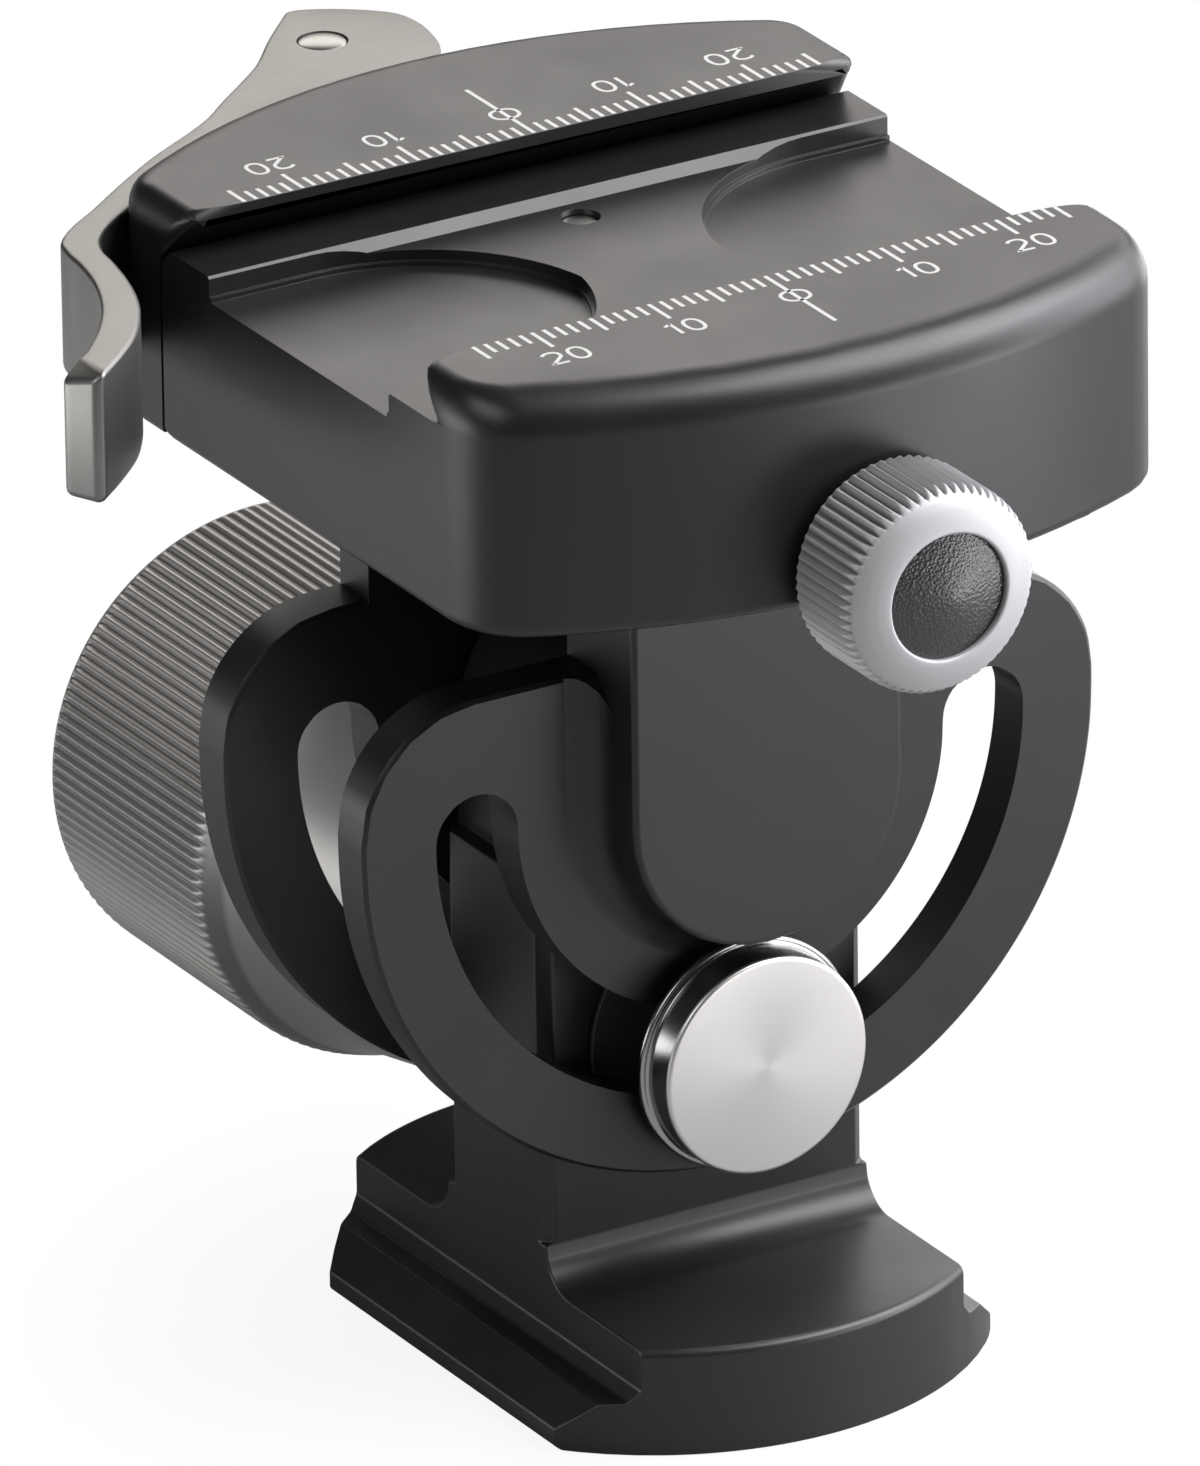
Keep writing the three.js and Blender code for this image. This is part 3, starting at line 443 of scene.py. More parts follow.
def radius_from(nodes, links, centre):
    """Distance from a line along Y through the given x, z."""
    apart = nodes.new("ShaderNodeVectorMath")
    apart.operation = "SUBTRACT"
    apart.inputs[1].default_value = (centre[0], 0, centre[1])
    links.new(object_place(nodes), apart.inputs[0])
    flat = nodes.new("ShaderNodeVectorMath")
    flat.operation = "MULTIPLY"
    flat.inputs[1].default_value = (1, 0, 1)
    links.new(apart.outputs["Vector"], flat.inputs[0])
    length = nodes.new("ShaderNodeVectorMath")
    length.operation = "LENGTH"
    links.new(flat.outputs["Vector"], length.inputs[0])
    return length.outputs["Value"], flat.outputs["Vector"]


def turned(name, color, roughness, centre, pitch=0.16, depth=0.002, anisotropy=0.75):
    """Faced metal with fine rings round the axis and the fan of light that they give."""
    material, nodes, links, shader = new_material(name)
    radius, flat = radius_from(nodes, links, centre)
    rings = nodes.new("ShaderNodeTexNoise")
    rings.noise_dimensions = "1D"
    rings.inputs["Scale"].default_value = 1 / (pitch * MM)
    rings.inputs["Detail"].default_value = 3.0
    links.new(radius, rings.inputs["W"])
    fine = noise(nodes, links, flat, 1 / (0.1 * MM), 2.0)
    ring = rings.outputs["Fac"]
    tone = tinted(nodes, links, ring, shaded(color, 0.95), shaded(color, 1.04))
    gloss = remapped(nodes, links, ring, roughness - 0.04, roughness + 0.04)
    links.new(tone, shader.inputs["Base Color"])
    links.new(gloss, shader.inputs["Roughness"])
    grooves = bumped(nodes, links, ring, 0.3, depth * MM)
    links.new(bumped(nodes, links, fine, 0.2, 0.001 * MM, grooves), shader.inputs["Normal"])
    tangent = nodes.new("ShaderNodeTangent")
    tangent.direction_type = "RADIAL"
    tangent.axis = "Y"
    links.new(tangent.outputs["Tangent"], shader.inputs["Tangent"])
    shader.inputs["Metallic"].default_value = 1.0
    shader.inputs["Anisotropic"].default_value = anisotropy
    return material


def knurled(name, color, metallic, roughness, centre, crest, depth, valley_shade, smooth_to):
    """Blasted metal with painted shade in its rib valleys: they come out darker than the crests
    and than the plain front, which ends at smooth_to along Y."""
    material, nodes, links, shader = new_material(name)
    radius, _ = radius_from(nodes, links, centre)
    place = object_place(nodes)
    fine = noise(nodes, links, place, 1 / (0.12 * MM), 2.0, 0.6)
    height = remapped(nodes, links, radius, 0.0, 1.0, crest - depth, crest - 0.5 * depth)
    parts = nodes.new("ShaderNodeSeparateXYZ")
    links.new(place, parts.inputs[0])
    blend = (smooth_to - 0.3 * MM, smooth_to + 0.3 * MM)
    plain = remapped(nodes, links, parts.outputs["Y"], 1.0, 0.0, *blend)
    bright = nodes.new("ShaderNodeMath")
    bright.operation = "MAXIMUM"
    links.new(height, bright.inputs[0])
    links.new(plain, bright.inputs[1])
    # Painted shade: the rib valleys get a darker copy of the colour, while the crests and the
    # plain front keep the full colour
    tone = tinted(nodes, links, bright.outputs["Value"], shaded(color, 1 - valley_shade), color)
    gloss = remapped(nodes, links, fine, roughness - 0.04, roughness + 0.04)
    links.new(tone, shader.inputs["Base Color"])
    links.new(gloss, shader.inputs["Roughness"])
    links.new(bumped(nodes, links, fine, 0.5, 0.005 * MM), shader.inputs["Normal"])
    shader.inputs["Metallic"].default_value = metallic
    return material


def sparkling(name):
    """Black moulded cap with a crinkled surface that glitters."""
    material, nodes, links, shader = new_material(name)
    place = object_place(nodes)
    cells = nodes.new("ShaderNodeTexVoronoi")
    cells.inputs["Scale"].default_value = 1 / (0.24 * MM)
    links.new(place, cells.inputs["Vector"])
    fine = noise(nodes, links, place, 1 / (0.16 * MM), 3.0, 0.7)
    rough = bumped(nodes, links, cells.outputs["Distance"], 0.8, 0.045 * MM)
    links.new(bumped(nodes, links, fine, 0.6, 0.02 * MM, rough), shader.inputs["Normal"])
    tone = tinted(nodes, links, fine, (0.004, 0.004, 0.005), (0.012, 0.012, 0.013))
    links.new(tone, shader.inputs["Base Color"])
    links.new(remapped(nodes, links, fine, 0.24, 0.36), shader.inputs["Roughness"])
    shader.inputs["Specular IOR Level"].default_value = 0.8
    return material


def engraved():
    """Pale filling of the scale marks."""
    material, nodes, links, shader = new_material("scale_marks")
    fine = noise(nodes, links, object_place(nodes), 1 / (0.2 * MM), 2.0)
    tone = tinted(nodes, links, fine, (0.45, 0.45, 0.44), (0.57, 0.57, 0.55))
    links.new(tone, shader.inputs["Base Color"])
    links.new(remapped(nodes, links, fine, 0.5, 0.65), shader.inputs["Roughness"])
    return material


def axis_of(node):
    """x and z of the line along Y round which a node is turned."""
    low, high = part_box(node)
    return (low.x + high.x) / 2, (low.z + high.z) / 2


def radius_of(node):
    """Largest radius of a node that is turned round a line along Y."""
    low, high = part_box(node)
    return (high.z - low.z) / 2


BIG_AXIS = axis_of("tilt_knob")
SMALL_AXIS = axis_of("lock_knob")
BIG_RADIUS = radius_of("tilt_knob")
SMALL_RADIUS = radius_of("lock_knob")
BIG_FRONT, BIG_BACK = (corner.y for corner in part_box("tilt_knob"))
SMALL_FRONT, SMALL_BACK = (corner.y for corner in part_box("lock_knob"))
BIG_LENGTH = BIG_BACK - BIG_FRONT
SMALL_LENGTH = SMALL_BACK - SMALL_FRONT
BIG_RIBS_FROM = BIG_FRONT + BIG_RIBS_SPAN[0] * BIG_LENGTH
BIG_RIBS_TO = BIG_FRONT + BIG_RIBS_SPAN[1] * BIG_LENGTH

black = blasted("black_anodised", (0.0095, 0.0085, 0.0097), 0.0, 0.38, specular=0.54)
black_steel = blasted("black_steel", (0.03, 0.031, 0.036), 0.6, 0.35)
# Both knurls carry painted shade in their rib valleys: the number after the rib depth is the
# share of the colour that it takes away
knob_grey = knurled(
    "grey_knurl", (0.36, 0.35, 0.34), 0.7, 0.42,
    BIG_AXIS, BIG_RADIUS, BIG_RIB_DEPTH, 0.45, BIG_RIBS_FROM,
)
knob_face = turned("grey_face", (0.36, 0.35, 0.34), 0.36, BIG_AXIS, anisotropy=0.4)
small_grey = knurled(
    "silver_knurl", (0.44, 0.44, 0.445), 0.4, 0.54,
    SMALL_AXIS, SMALL_RADIUS, SMALL_RIB_DEPTH, 0.5, SMALL_BACK - SMALL_PLAIN_FROM * SMALL_LENGTH,
)
steel = brushed("lever_steel", (0.24, 0.237, 0.227), 1.0, 0.42, along=0)
pin_steel = blasted("pin_steel", (0.36, 0.355, 0.34), 1.0, 0.33, depth=0.002)
disc_steel = turned(
    "disc_steel", (0.64, 0.636, 0.61), 0.36, axis_of("tension_bolt"),
    pitch=0.07, depth=0.0004, anisotropy=0.3,
)
rim_steel = blasted("rim_steel", (0.36, 0.36, 0.355), 1.0, 0.25, depth=0.001)
plastic = blasted("black_plastic", (0.035, 0.037, 0.045), 0.0, 0.38, grain=0.25, depth=0.004)
bright_steel = blasted("bright_steel", (0.68, 0.67, 0.65), 1.0, 0.28)
brass = blasted("brass", (0.55, 0.4, 0.18), 1.0, 0.3)
bronze = blasted("bronze", (0.38, 0.25, 0.13), 1.0, 0.45)
cap_black = sparkling("cap_sparkle")
mark_paint = engraved()


# Turned pieces

def filleted(profile, radius, steps=4, least=18):
    """A profile with each corner sharper than the least angle replaced by a short curve."""
    points = [Vector(p) for p in profile]
    made = [points[0]]
    for before, corner, after in zip(points, points[1:], points[2:]):
        incoming = corner - before
        outgoing = after - corner
        if incoming.angle(outgoing, 0) < math.radians(least):
            made.append(corner)
            continue
        reach = min(radius, incoming.length * 0.45, outgoing.length * 0.45)
        start = corner - incoming.normalized() * reach
        end = corner + outgoing.normalized() * reach
        for i in range(steps + 1):
            t = i / steps
            made.append(start * (1 - t) ** 2 + corner * 2 * t * (1 - t) + end * t * t)
    made.append(points[-1])
    return made


def turned_object(name, profile, axis, steps, depth_at=None):
    """A body turned about a line along Y. The profile holds radius and y, from axis to axis.
    depth_at(angle, radius, y) may lower the radius, as a cut does."""
    points = []
    faces = []
    rings = []
    for radius, y in profile:
        if radius < WELD:
            rings.append([len(points)])
            points.append((axis[0], y, axis[1]))
            continue
        ring = []
        for i in range(steps):
            angle = 2 * math.pi * i / steps
            r = depth_at(angle, radius, y) if depth_at else radius
            ring.append(len(points))
            points.append((axis[0] + r * math.cos(angle), y, axis[1] + r * math.sin(angle)))
        rings.append(ring)
    for low, high in zip(rings, rings[1:]):
        for i in range(steps):
            n = (i + 1) % steps
            if len(low) == 1 and len(high) == 1:
                continue
            if len(low) == 1:
                faces.append((low[0], high[n], high[i]))
            elif len(high) == 1:
                faces.append((low[i], low[n], high[0]))
            else:
                faces.append((low[i], low[n], high[n], high[i]))
    obj = mesh_object(name, points, faces)
    form = bmesh.new()
    form.from_mesh(obj.data)
    bmesh.ops.recalc_face_normals(form, faces=form.faces)
    form.to_mesh(obj.data)
    form.free()
    return obj


def rib_cut(count, crest, depth, front, back):
    """Straight ribs with round crests between two places along the axis."""
    def radius_at(angle, radius, y):
        if not front <= y <= back:
            return radius
        phase = (angle * count / (2 * math.pi)) % 1.0
        rise = 0.5 - 0.5 * math.cos(2 * math.pi * phase)
        return min(radius, crest - depth * (1 - rise))
    return radius_at


def stepped(profile, step):
    """A profile with its long stretches divided."""
    made = [Vector(profile[0])]
    for a, b in zip(profile, profile[1:]):
        a, b = Vector(a), Vector(b)
        count = max(1, math.ceil((b - a).length / step))
        for i in range(1, count + 1):
            made.append(a.lerp(b, i / count))
    return made


def tilt_knob():
    """Large knob: cone, shoulder and ribs, hollow behind for its cap."""
    outer = [(v * BIG_RADIUS, BIG_FRONT + u * BIG_LENGTH) for u, v in BIG_PROFILE]
    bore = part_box("tilt_knob_insert")[1].z - axis_of("tilt_knob_insert")[1]
    bore *= BIG_BORE_SHARE
    bore_end = BIG_FRONT + BIG_BORE_DEPTH
    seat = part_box("tilt_knob_cap")[0].y
    inner = radius_of("tilt_knob_cap") + CAP_PLAY
    whole = [(0, bore_end), (bore, bore_end), (bore, BIG_FRONT), *outer]
    whole += [(inner, BIG_BACK), (inner, seat), (0, seat)]
    profile = filleted(whole, BIG_CORNER)
    shoulder_end = BIG_FRONT + BIG_SHOULDER_END * BIG_LENGTH
    fine = []
    for a, b in zip(profile, profile[1:]):
        on_shoulder = min(a.y, b.y) < shoulder_end and max(a.y, b.y) > BIG_RIBS_FROM
        fine += stepped([a, b], BIG_FINE_STEP if on_shoulder else BIG_COARSE_STEP)[:-1]
    fine.append(profile[-1])
    cut = rib_cut(BIG_RIBS, BIG_RADIUS, BIG_RIB_DEPTH, BIG_RIBS_FROM, BIG_RIBS_TO)
    obj = turned_object("tilt_knob_look", fine, BIG_AXIS, BIG_RIBS * RIB_POINTS, cut)
    smooth(obj, SHARP_KNOB)
    fix_to(obj, "tilt_knob", knob_grey)


def tilt_knob_cap():
    """Dished disc that closes the large knob."""
    low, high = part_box("tilt_knob_cap")
    radius = radius_of("tilt_knob_cap")
    rim, foot = (radius * share for share in CAP_DISH_SHARES)
    dish = high.y - CAP_DISH
    profile = filleted([
        (0, low.y), (radius, low.y), (radius, high.y), (rim, high.y), (foot, dish), (0, dish),
    ], CAP_CORNER)
    obj = turned_object("tilt_knob_cap_look", profile, BIG_AXIS, ROUND_STEPS)
    smooth(obj, SHARP_TURNED)
    fix_to(obj, "tilt_knob_cap", knob_face)


def lock_knob():
    """Small knob: ribs that run out on its rounded front, round a seat for its cap."""
    front = SMALL_FRONT + SMALL_FRONT_DROP
    outer = [(v * SMALL_RADIUS, SMALL_BACK - u * (SMALL_BACK - front)) for u, v in SMALL_PROFILE]
    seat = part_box("lock_knob_cap")[1].y
    inner = radius_of("lock_knob_cap") + CAP_PLAY
    whole = [(0, SMALL_BACK), *outer, (inner, front + SMALL_LIP), (inner, seat), (0, seat)]
    fine = stepped(filleted(whole, SMALL_CORNER), SMALL_STEP)
    near, far = (SMALL_BACK - share * SMALL_LENGTH for share in SMALL_RIBS_SPAN)
    cut = rib_cut(SMALL_RIBS, SMALL_RADIUS, SMALL_RIB_DEPTH, far, near)
    obj = turned_object("lock_knob_look", fine, SMALL_AXIS, SMALL_RIBS * RIB_POINTS, cut)
    smooth(obj, SHARP_KNOB)
    fix_to(obj, "lock_knob", small_grey)


def lock_knob_cap():
    """Cap of the small knob: its face falls away from the middle."""
    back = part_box("lock_knob_cap")[1].y
    radius = radius_of("lock_knob_cap")
    profile = [(0, back), (radius, back)]
    for i in range(CAP_STEPS + 1):
        share = 1 - i / CAP_STEPS
        profile.append((radius * share, SMALL_FRONT + CAP_DOME * share ** CAP_CURVE))
    obj = turned_object("lock_knob_cap_look", profile, SMALL_AXIS, CAP_ROUND_STEPS)
    smooth(obj, SHARP_CAP)
    fix_to(obj, "lock_knob_cap", cap_black)


def tension_bolt():
    """Disc head with a faced front and a darker rim, on its shank."""
    low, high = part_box("tension_bolt")
    axis = axis_of("tension_bolt")
    rim = radius_of("tension_bolt")
    disc = rim - DISC_LEDGE
    disc_back = low.y + DISC_DEPTH
    rim_back = disc_back + RIM_DEPTH
    profile = filleted([
        (0, low.y), (disc, low.y), (disc, disc_back), (rim, disc_back),
        (rim, rim_back), (SHANK_RADIUS, rim_back), (SHANK_RADIUS, high.y), (0, high.y),
    ], DISC_CORNER)
    obj = turned_object("tension_bolt_look", profile, axis, ROUND_STEPS)
    smooth(obj, SHARP_TURNED)
    fix_to(obj, "tension_bolt", disc_steel)
    obj.data.materials.append(rim_steel)
    for face in obj.data.polygons:
        centre = face.center
        beyond = math.hypot(centre.x - axis[0], centre.z - axis[1]) > disc - DISC_SLACK
        if beyond and centre.y > low.y + DISC_CORNER:
            face.material_index = 1


# Scales

def ribbon(points, width, closed=False):
    """Outline strips of a flat line of even width, as quads."""
    corners = []
    faces = []
    count = len(points)
    for i, point in enumerate(points):
        if closed:
            before, after = points[i - 1], points[(i + 1) % count]
        else:
            before, after = points[max(i - 1, 0)], points[min(i + 1, count - 1)]
        along = (Vector(after) - Vector(before)).normalized()
        side = Vector((-along.y, along.x)) * width / 2
        corners += [Vector(point) - side, Vector(point) + side]
    last = count if closed else count - 1
    for i in range(last):
        a, b = 2 * i, 2 * ((i + 1) % count)
        faces.append((a, b, b + 1, a + 1))
    return corners, faces


def ellipse(cx, cy, half_width, half_height, start=0, end=360, steps=24):
    """Points of a rounded oval, squarer than an ellipse, between two angles."""
    made = []
    for i in range(steps + 1):
        angle = math.radians(start + (end - start) * i / steps)
        c, s = math.cos(angle), math.sin(angle)
        u = math.copysign(abs(c) ** OVAL_POWER, c)
        v = math.copysign(abs(s) ** OVAL_POWER, s)
        made.append((cx + half_width * u, cy + half_height * v))
    return made


def digit_strokes(digit):
    """Strokes of a digit about its own centre, and whether each is closed."""
    half_w = (DIGIT_WIDTH - DIGIT_STROKE) / 2
    half_h = (DIGIT_HEIGHT - DIGIT_STROKE) / 2
    if digit == "0":
        return [(ellipse(0, 0, half_w, half_h)[:-1], True)]
    if digit == "1":
        x = half_w * 0.35
        stem = [(x, half_h), (x, -half_h)]
        flag = [(-half_w * 0.55, half_h * 0.6), (x, half_h * 0.92)]
        return [(stem, False), (flag, False)]
    bowl = ellipse(0, half_h * 0.42, half_w, half_h * 0.58, 160, -35, 12)
    base = [(-half_w - DIGIT_STROKE / 2, -half_h), (half_w, -half_h)]
    return [(bowl + [(-half_w, -half_h)], False), (base, False)]


def scale_strokes():
    """Strokes of one scale: x along the channel, y away from it, starting at its edge."""
    strokes = []
    for i in range(-TICK_COUNT, TICK_COUNT + 1):
        x = i * TICK_STEP
        length = TICK_LENGTH
        if i % 5 == 0:
            length = TICK_MEDIUM
        if i % 10 == 0:
            length = TICK_LONG
        if i == 0:
            length = ZERO_LENGTH
        strokes.append(([(x, TICK_START), (x, length)], False, TICK_WIDTH))
    ring = ellipse(0, ZERO_OFFSET, ZERO_HALF_WIDTH, ZERO_HALF_HEIGHT)[:-1]
    strokes.append((ring, True, DIGIT_STROKE))
    for i in (-20, -10, 10, 20):
        text = str(abs(i))
        step = (DIGIT_WIDTH + DIGIT_GAP) * (ONE_PITCH if text[0] == "1" else 1.0)
        for k, digit in enumerate(text):
            cx = i * TICK_STEP + (k - 0.5) * step
            for points, closed in digit_strokes(digit):
                moved = [(cx + x, DIGIT_OFFSET - y) for x, y in points]
                strokes.append((moved, closed, DIGIT_STROKE))
    return strokes


def jaw_scale(name, node, side):
    """Scale on a jaw top: side -1 on the near jaw, 1 on the far one, which reads from behind."""
    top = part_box(node)[1].z + MARK_RISE
    points = []
    faces = []
    for stroke, closed, width in scale_strokes():
        corners, quads = ribbon(stroke, width, closed)
        base = len(points)
        points += [(-side * c.x, side * (CHANNEL_HALF + c.y), top) for c in corners]
        faces += [tuple(base + k for k in quad) for quad in quads]
    obj = mesh_object(name, points, faces)
    form = bmesh.new()
    form.from_mesh(obj.data)
    for face in form.faces:
        face.normal_update()
        if face.normal.z < 0:
            face.normal_flip()
    form.to_mesh(obj.data)
    form.free()
    fix_to(obj, node, mark_paint, replace=False)


# Lever

def lower_outline(node):
    """Longest loop of edges round the lower face of a node, seen from above."""
    form = bmesh.new()
    form.from_mesh(frame["nodes"][node].data)
    bmesh.ops.remove_doubles(form, verts=form.verts, dist=WELD)
    level = min(v.co.z for v in form.verts)
    beside = {}
    for edge in form.edges:
        under = [
            face for face in edge.link_faces
            if face.normal.z < -0.9 and face.calc_center_median().z < level + WELD
        ]
        if len(under) == 1:
            a, b = (v.co.xy.to_tuple(9) for v in edge.verts)
            beside.setdefault(a, []).append(b)
            beside.setdefault(b, []).append(a)
    form.free()
    start = min(beside)
    loop = [start, beside[start][0]]
    while loop[-1] != start:
        loop.append(next(p for p in beside[loop[-1]] if p != loop[-2]))
    loop = [Vector(p) for p in loop[:-1]]
    area = sum(a.x * b.y - b.x * a.y for a, b in zip(loop, loop[1:] + loop[:1]))
    return loop if area > 0 else loop[::-1]


def straightened(loop):
    """The loop without the points that lie on a straight run."""
    count = len(loop)
    return [
        loop[i] for i in range(count)
        if (loop[i] - loop[i - 1]).angle(loop[(i + 1) % count] - loop[i]) > math.radians(1)
    ]


def flowing(loop):
    """Closed outline through the loop: soft bends run on as curves, corners are rounded."""
    count = len(loop)
    nodes = []
    for i, point in enumerate(loop):
        incoming = point - loop[i - 1]
        outgoing = loop[(i + 1) % count] - point
        ahead, behind = outgoing.normalized(), incoming.normalized()
        if behind.angle(ahead) < LEVER_CORNER:
            along = (behind + ahead).normalized()
            nodes.append((point, along, None))
            continue
        reach = min(LEVER_CORNER_REACH, incoming.length * 0.42, outgoing.length * 0.42)
        nodes.append((point - behind * reach, behind, point))
        nodes.append((point + ahead * reach, ahead, None))
    made = []
    for (a, along_a, corner), (b, along_b, _) in zip(nodes, nodes[1:] + nodes[:1]):
        span = (b - a).length
        for i in range(LEVER_STEPS):
            t = i / LEVER_STEPS
            if corner:
                made.append(a * (1 - t) ** 2 + corner * 2 * t * (1 - t) + b * t * t)
                continue
            made.append(
                a * (2 * t ** 3 - 3 * t ** 2 + 1) + along_a * span * (t ** 3 - 2 * t ** 2 + t)
                + b * (3 * t ** 2 - 2 * t ** 3) + along_b * span * (t ** 3 - t ** 2)
            )
    return made


def inward(loop, distance):
    """The loop moved in by a distance, square to its course."""
    count = len(loop)
    made = []
    for i, point in enumerate(loop):
        along = (loop[(i + 1) % count] - loop[i - 1]).normalized()
        made.append(point + Vector((-along.y, along.x)) * distance)
    return made


def stacked(name, rings):
    """A body through rings of equal count, each a loop and its level, closed at both ends."""
    count = len(rings[0][0])
    points = [(p.x, p.y, level) for loop, level in rings for p in loop]
    faces = [tuple(reversed(range(count))), tuple(range(len(points) - count, len(points)))]
    for k in range(len(rings) - 1):
        for i in range(count):
            n = (i + 1) % count
            a, b = k * count, (k + 1) * count
            faces.append((a + i, a + n, b + n, b + i))
    return mesh_object(name, points, faces)


def circle_loop(centre, radius, start=0, end=360, steps=48):
    """Points of a circle or arc between two angles, without its end point."""
    made = []
    for i in range(steps):
        angle = math.radians(start + (end - start) * i / steps)
        made.append(centre + Vector((math.cos(angle), math.sin(angle))) * radius)
    return made


def cut_away(obj, name, loop, low, high):
    """Takes an upright prism out of a body."""
    cutter = stacked(name, [(loop, low), (loop, high)])
    cut = obj.modifiers.new(name, "BOOLEAN")
    cut.operation = "DIFFERENCE"
    cut.solver = "EXACT"
    cut.object = cutter
    apply_modifiers(obj)
    bpy.data.objects.remove(cutter)


def clamp_lever():
    """Cam lever with flowing sides, soft edges, the slope at its tab and the rod slot."""
    low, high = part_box("clamp_lever")
    loop = flowing(straightened(lower_outline("clamp_lever")))
    rings = []
    for edge, turns, level, way in (
        (LEVER_BOTTOM_EDGE, LEVER_EDGE_TURNS[::-1], low.z, 1),
        (LEVER_TOP_EDGE, LEVER_EDGE_TURNS, high.z, -1),
    ):
        for turn in turns:
            angle = math.radians(turn)
            held = [
                Vector((min(max(p.x, low.x), high.x), min(max(p.y, low.y), high.y)))
                for p in inward(loop, edge * (1 - math.cos(angle)))
            ]
            rings.append((held, level + way * edge * (1 - math.sin(angle))))
    obj = stacked("clamp_lever_look", rings)
    form = bmesh.new()
    form.from_mesh(obj.data)
    for share in TAB_CUTS:
        bmesh.ops.bisect_plane(
            form, geom=form.verts[:] + form.edges[:] + form.faces[:], dist=WELD,
            plane_co=(low.x + TAB_SLOPE_LENGTH * share, 0, 0), plane_no=(1, 0, 0),
        )
    height = high.z - low.z
    for vert in form.verts:
        share = max(0.0, 1 + TAB_KNEE - (vert.co.x - low.x) / TAB_SLOPE_LENGTH)
        on_knee = share < 2 * TAB_KNEE
        fall = TAB_SLOPE_DROP * (share ** 2 / (4 * TAB_KNEE) if on_knee else share - TAB_KNEE)
        vert.co.z = low.z + (vert.co.z - low.z) * (1 - fall / height)
    form.to_mesh(obj.data)
    form.free()
    pivot_low, pivot_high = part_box("lever_pin")
    pivot = Vector((pivot_low.x + pivot_high.x, pivot_low.y + pivot_high.y)) / 2
    middle = (low.z + high.z) / 2
    cut_away(obj, "pin_hole", circle_loop(pivot, PIN_HOLE), low.z - MM, high.z + MM)
    eye = math.degrees(math.asin(ROD_SLOT_HALF / EYE_SLOT_RADIUS))
    rim = math.degrees(math.asin(ROD_SLOT_HALF / ROD_SLOT_REACH))
    turn = math.degrees(ROD_SLOT_TURN)
    slot = circle_loop(pivot, EYE_SLOT_RADIUS, turn + eye, 270 - eye, 24)
    slot += circle_loop(pivot, EYE_SLOT_RADIUS, 270 - eye, 270 - eye + 1, 1)
    slot += circle_loop(pivot, ROD_SLOT_REACH, 270 - rim, 360 + turn + rim, 16)
    slot += circle_loop(pivot, ROD_SLOT_REACH, 360 + turn + rim, 361 + turn + rim, 1)
    cut_away(obj, "rod_slot", slot, middle - SLOT_HEIGHT / 2, middle + SLOT_HEIGHT / 2)
    smooth(obj, SHARP_LEVER)
    fix_to(obj, "clamp_lever", steel)


def lever_pin():
    """Low domed head over the plain pin."""
    low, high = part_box("lever_pin")
    pivot = Vector((low.x + high.x, low.y + high.y)) / 2
    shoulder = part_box("clamp_lever")[1].z - PIN_DOME
    rings = [(circle_loop(pivot, PIN_HEAD), low.z)]
    for turn in PIN_DOME_TURNS:
        angle = math.radians(turn)
        level = shoulder + (high.z - shoulder) * math.sin(angle)
        rings.append((circle_loop(pivot, PIN_HEAD * math.cos(angle)), level))
    obj = stacked("lever_pin_look", rings)
    smooth(obj, SHARP_PIN)
    fix_to(obj, "lever_pin", pin_steel)


# Machined pieces

CLAMP_BOTTOM, CLAMP_TOP = (corner.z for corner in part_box("clamp_body"))
TONGUE_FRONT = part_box("front_arm")[0].y


def jaw_tip(a, b):
    """Edges where a jaw's inner wall and its undercut meet its ends."""
    inside = []
    for p in (a, b):
        beyond = abs(p.y) - CHANNEL_HALF
        below = CLAMP_TOP - LAND_HEIGHT - p.z
        on_wall = abs(beyond) < TIP_SLACK and below < TIP_SLACK
        on_slope = abs(beyond - below) < TIP_SLACK and 0 < below < UNDERCUT + TIP_SLACK
        inside.append(on_wall or on_slope)
    short = abs(a.x - b.x) < JAW_TIP_FROM / 2
    at_end = min(abs(a.x), abs(b.x)) > JAW_TIP_FROM
    return all(inside) and short and at_end and abs(a.z - b.z) > WELD


def under_edge(a, b):
    """Outer edges of the clamp's underside."""
    at_bottom = all(abs(p.z - CLAMP_BOTTOM) < UNDERSIDE_SLACK for p in (a, b))
    middle = (a + b) / 2
    inner = math.hypot(middle.x, middle.y) < UNDERSIDE_HOLE or (
        abs(a.y - b.y) < UNDERSIDE_SLACK and abs(middle.y) < CHANNEL_HALF
    )
    return at_bottom and not inner


def tongue_edge(a, b):
    """Edges round the front of the tongue, which is as far forward as its piece goes."""
    return max(a.y, b.y) < TONGUE_FRONT + WELD


def foot_edge(a, b):
    """Edges of the foot's top along its two curved ends."""
    for end in (a, b):
        reach = math.hypot(end.x, end.y - FOOT_CENTRE_Y)
        if abs(end.z - FOOT_TOP) > FOOT_TOP_SLACK or reach < FOOT_RADIUS - FOOT_RADIUS_SLACK:
            return False
    return True


def plain_pieces():
    """Pieces that keep their solid form, with broken edges."""
    clamp = ((jaw_tip, TIP_ROUNDING), (under_edge, UNDERSIDE_ROUNDING))
    tongue = ((tongue_edge, TONGUE_ROUNDING),)
    foot = ((foot_edge, FOOT_ROUNDING),)
    dressed("clamp_body", black, edge=0.2, wide=clamp)
    dressed("movable_jaw", black, edge=0.2, wide=clamp)
    dressed("front_arm", black, edge=0.26, wide=tongue, refine=True)
    dressed("rear_arm", black, edge=0.26, refine=True)
    dressed("foot_column", black, edge=0.35, wide=foot, refine=True)
    dressed("bolt_collar", black, edge=0.15)
    dressed("friction_washer", plastic, edge=0.15)
    dressed("bolt_spacer", plastic, edge=0.2)
    dressed("tilt_spacer", plastic, edge=0.2)
    dressed("knob_washer", plastic, edge=0.1)
    dressed("foot_thread_insert", pin_steel, edge=0.25)
    dressed("rear_arm_screw_left", black_steel, edge=0.2)
    dressed("rear_arm_screw_right", black_steel, edge=0.2)


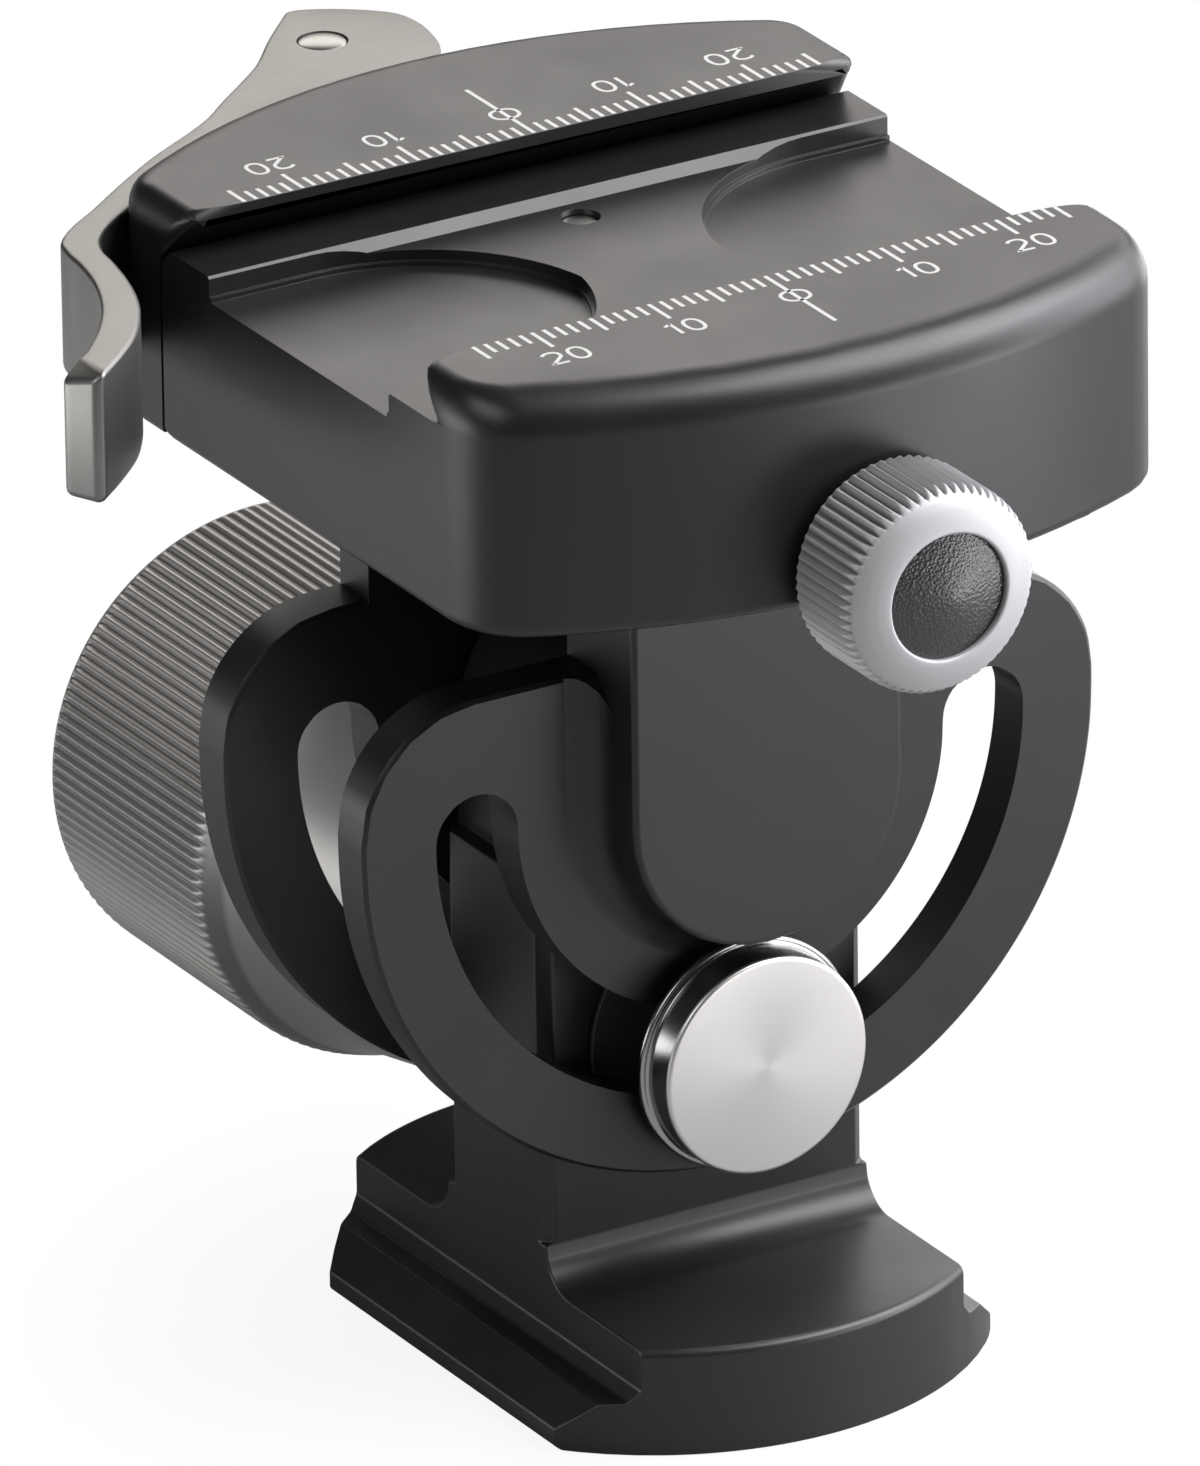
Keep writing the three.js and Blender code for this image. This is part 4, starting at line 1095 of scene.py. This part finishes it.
def inner_pieces():
    """A material on every CAD solid. The pieces inside keep their own mesh."""
    finish = {
        "stainless": pin_steel, "dark_steel": black_steel, "brass": brass, "bronze": bronze,
        "acetal": plastic, "black_anodised": black, "grey_anodised": knob_grey,
        "silver_matt": small_grey, "cap_plastic": cap_black,
    }
    for node, obj in frame["nodes"].items():
        obj.data.materials.clear()
        obj.data.materials.append(finish[SLOT_OF[node]])
    frame["nodes"]["floor_pin"].data.materials[0] = bright_steel


# Camera, floor and light

def photo_camera():
    """Camera at the photograph's angle, with its aim pixel on the middle of the jaw tops."""
    a, e, roll = CAMERA_AZIMUTH, CAMERA_ELEVATION, CAMERA_ROLL
    back = Vector((math.sin(a) * math.cos(e), -math.cos(a) * math.cos(e), math.sin(e)))
    right = Vector((math.cos(a), math.sin(a), 0))
    up = back.cross(right)
    right, up = (
        right * math.cos(roll) + up * math.sin(roll),
        up * math.cos(roll) - right * math.sin(roll),
    )
    focal = PIXELS_PER_MM / MM * CAMERA_DISTANCE
    across = (AIM_PIXEL[0] - PHOTO_WIDTH / 2) / focal
    down = (AIM_PIXEL[1] - PHOTO_HEIGHT / 2) / focal
    ray = right * across - up * down - back
    target = Vector((0, 0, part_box("clamp_body")[1].z))
    data = bpy.data.cameras.new("camera")
    data.sensor_fit = "AUTO"
    data.sensor_width = SENSOR
    data.lens = focal * SENSOR / PHOTO_HEIGHT
    data.clip_start = 0.05
    data.clip_end = 20
    camera = collect(bpy.data.objects.new("camera", data))
    turn = Matrix((right, up, back)).transposed().to_4x4()
    camera.matrix_world = Matrix.Translation(target - ray * CAMERA_DISTANCE) @ turn
    bpy.context.scene.camera = camera


def area_light(name, place, aim, size, power, color):
    """A soft panel that faces its aim and that the camera doesn't see."""
    data = bpy.data.lights.new(name, "AREA")
    data.shape = "RECTANGLE"
    data.size, data.size_y = size
    data.energy = power
    data.color = color
    light = collect(bpy.data.objects.new(name, data))
    light.location = place
    light.rotation_euler = (Vector(aim) - Vector(place)).to_track_quat("-Z", "Y").to_euler()
    light.visible_camera = False


def white_world():
    """White for the camera, dim for the object."""
    world = bpy.data.worlds.new("studio")
    world.use_nodes = True
    nodes, links = world.node_tree.nodes, world.node_tree.links
    background = nodes["Background"]
    paths = nodes.new("ShaderNodeLightPath")
    seen = nodes.new("ShaderNodeMath")
    seen.operation = "MAXIMUM"
    links.new(paths.outputs["Is Camera Ray"], seen.inputs[0])
    links.new(paths.outputs["Is Transmission Ray"], seen.inputs[1])
    strength = nodes.new("ShaderNodeMix")
    strength.inputs["A"].default_value = WORLD_LIGHT
    strength.inputs["B"].default_value = 1.0
    links.new(seen.outputs["Value"], strength.inputs["Factor"])
    background.inputs["Color"].default_value = (1, 1, 1, 1)
    links.new(strength.outputs["Result"], background.inputs["Strength"])
    bpy.context.scene.world = world


def floor():
    """Pale ground that fades to plain white away from the object."""
    level = cad_low.z - FLOOR_DROP
    corners = [
        (x * FLOOR_HALF, y * FLOOR_HALF, level) for x, y in ((-1, -1), (1, -1), (1, 1), (-1, 1))
    ]
    obj = mesh_object("floor", corners, [(0, 1, 2, 3)])
    material, nodes, links, shader = new_material("floor_white")
    shader.inputs["Roughness"].default_value = 0.9
    shader.inputs["Specular IOR Level"].default_value = 0.1
    glow = nodes.new("ShaderNodeEmission")
    glow.inputs["Strength"].default_value = 1.0
    apart = nodes.new("ShaderNodeVectorMath")
    apart.operation = "LENGTH"
    links.new(object_place(nodes), apart.inputs[0])
    fade = remapped(nodes, links, apart.outputs["Value"], 0.0, 1.0, *FLOOR_GLOW)
    paths = nodes.new("ShaderNodeLightPath")
    camera_ray = paths.outputs["Is Camera Ray"]
    tone = tinted(nodes, links, camera_ray, (FLOOR_BOUNCE,) * 3, (FLOOR_SEEN,) * 3)
    links.new(tone, shader.inputs["Base Color"])
    seen = nodes.new("ShaderNodeMath")
    seen.operation = "MULTIPLY"
    links.new(fade, seen.inputs[0])
    links.new(camera_ray, seen.inputs[1])
    mix = nodes.new("ShaderNodeMixShader")
    links.new(seen.outputs["Value"], mix.inputs["Fac"])
    links.new(shader.outputs["BSDF"], mix.inputs[1])
    links.new(glow.outputs["Emission"], mix.inputs[2])
    links.new(mix.outputs["Shader"], nodes["Material Output"].inputs["Surface"])
    obj.data.materials.append(material)


def lights():
    """Soft panels: one above in front, one behind for the sheen of the tops, two at the right
    for the bowed front, a weak one at the left, and three low ones that fill the shade."""
    middle = (0, 0, -0.03)
    panels = (
        ("overhead", (0.43, -0.27, 0.62), middle, (0.65, 0.55), 9.8, COOL),
        ("back_panel", (0.37, 0.62, 0.37), (0, 0, 0), (0.9, 0.36), 2.8, WARM),
        ("right_window", (0.85, -0.02, 0.32), middle, (0.8, 0.8), 6.5, COOL),
        ("right_front", (0.68, -0.38, 0.18), middle, (0.4, 0.6), 3.9, COOLER),
        ("left_card", (-0.5, -0.1, 0.35), middle, (0.4, 0.3), 1.0, WHITE),
        ("low_right", (0.15, -0.2, -0.06), middle, (0.16, 0.05), 0.17, COOLER),
        ("low_left", (-0.23, 0.1, -0.05), (-0.05, 0.02, -0.01), (0.2, 0.07), 0.17, WHITE),
        ("low_back", (0.24, 0.15, -0.045), (0.02, 0, -0.04), (0.25, 0.08), 0.2, WHITE),
    )
    for panel in panels:
        area_light(*panel)


inner_pieces()
plain_pieces()
clamp_lever()
tilt_knob()
tilt_knob_cap()
lock_knob()
lock_knob_cap()
tension_bolt()
lever_pin()
jaw_scale("near_scale", "clamp_body", -1)
jaw_scale("far_scale", "movable_jaw", 1)
photo_camera()
white_world()
floor()
lights()

bpy.context.scene.view_settings.view_transform = "Standard"
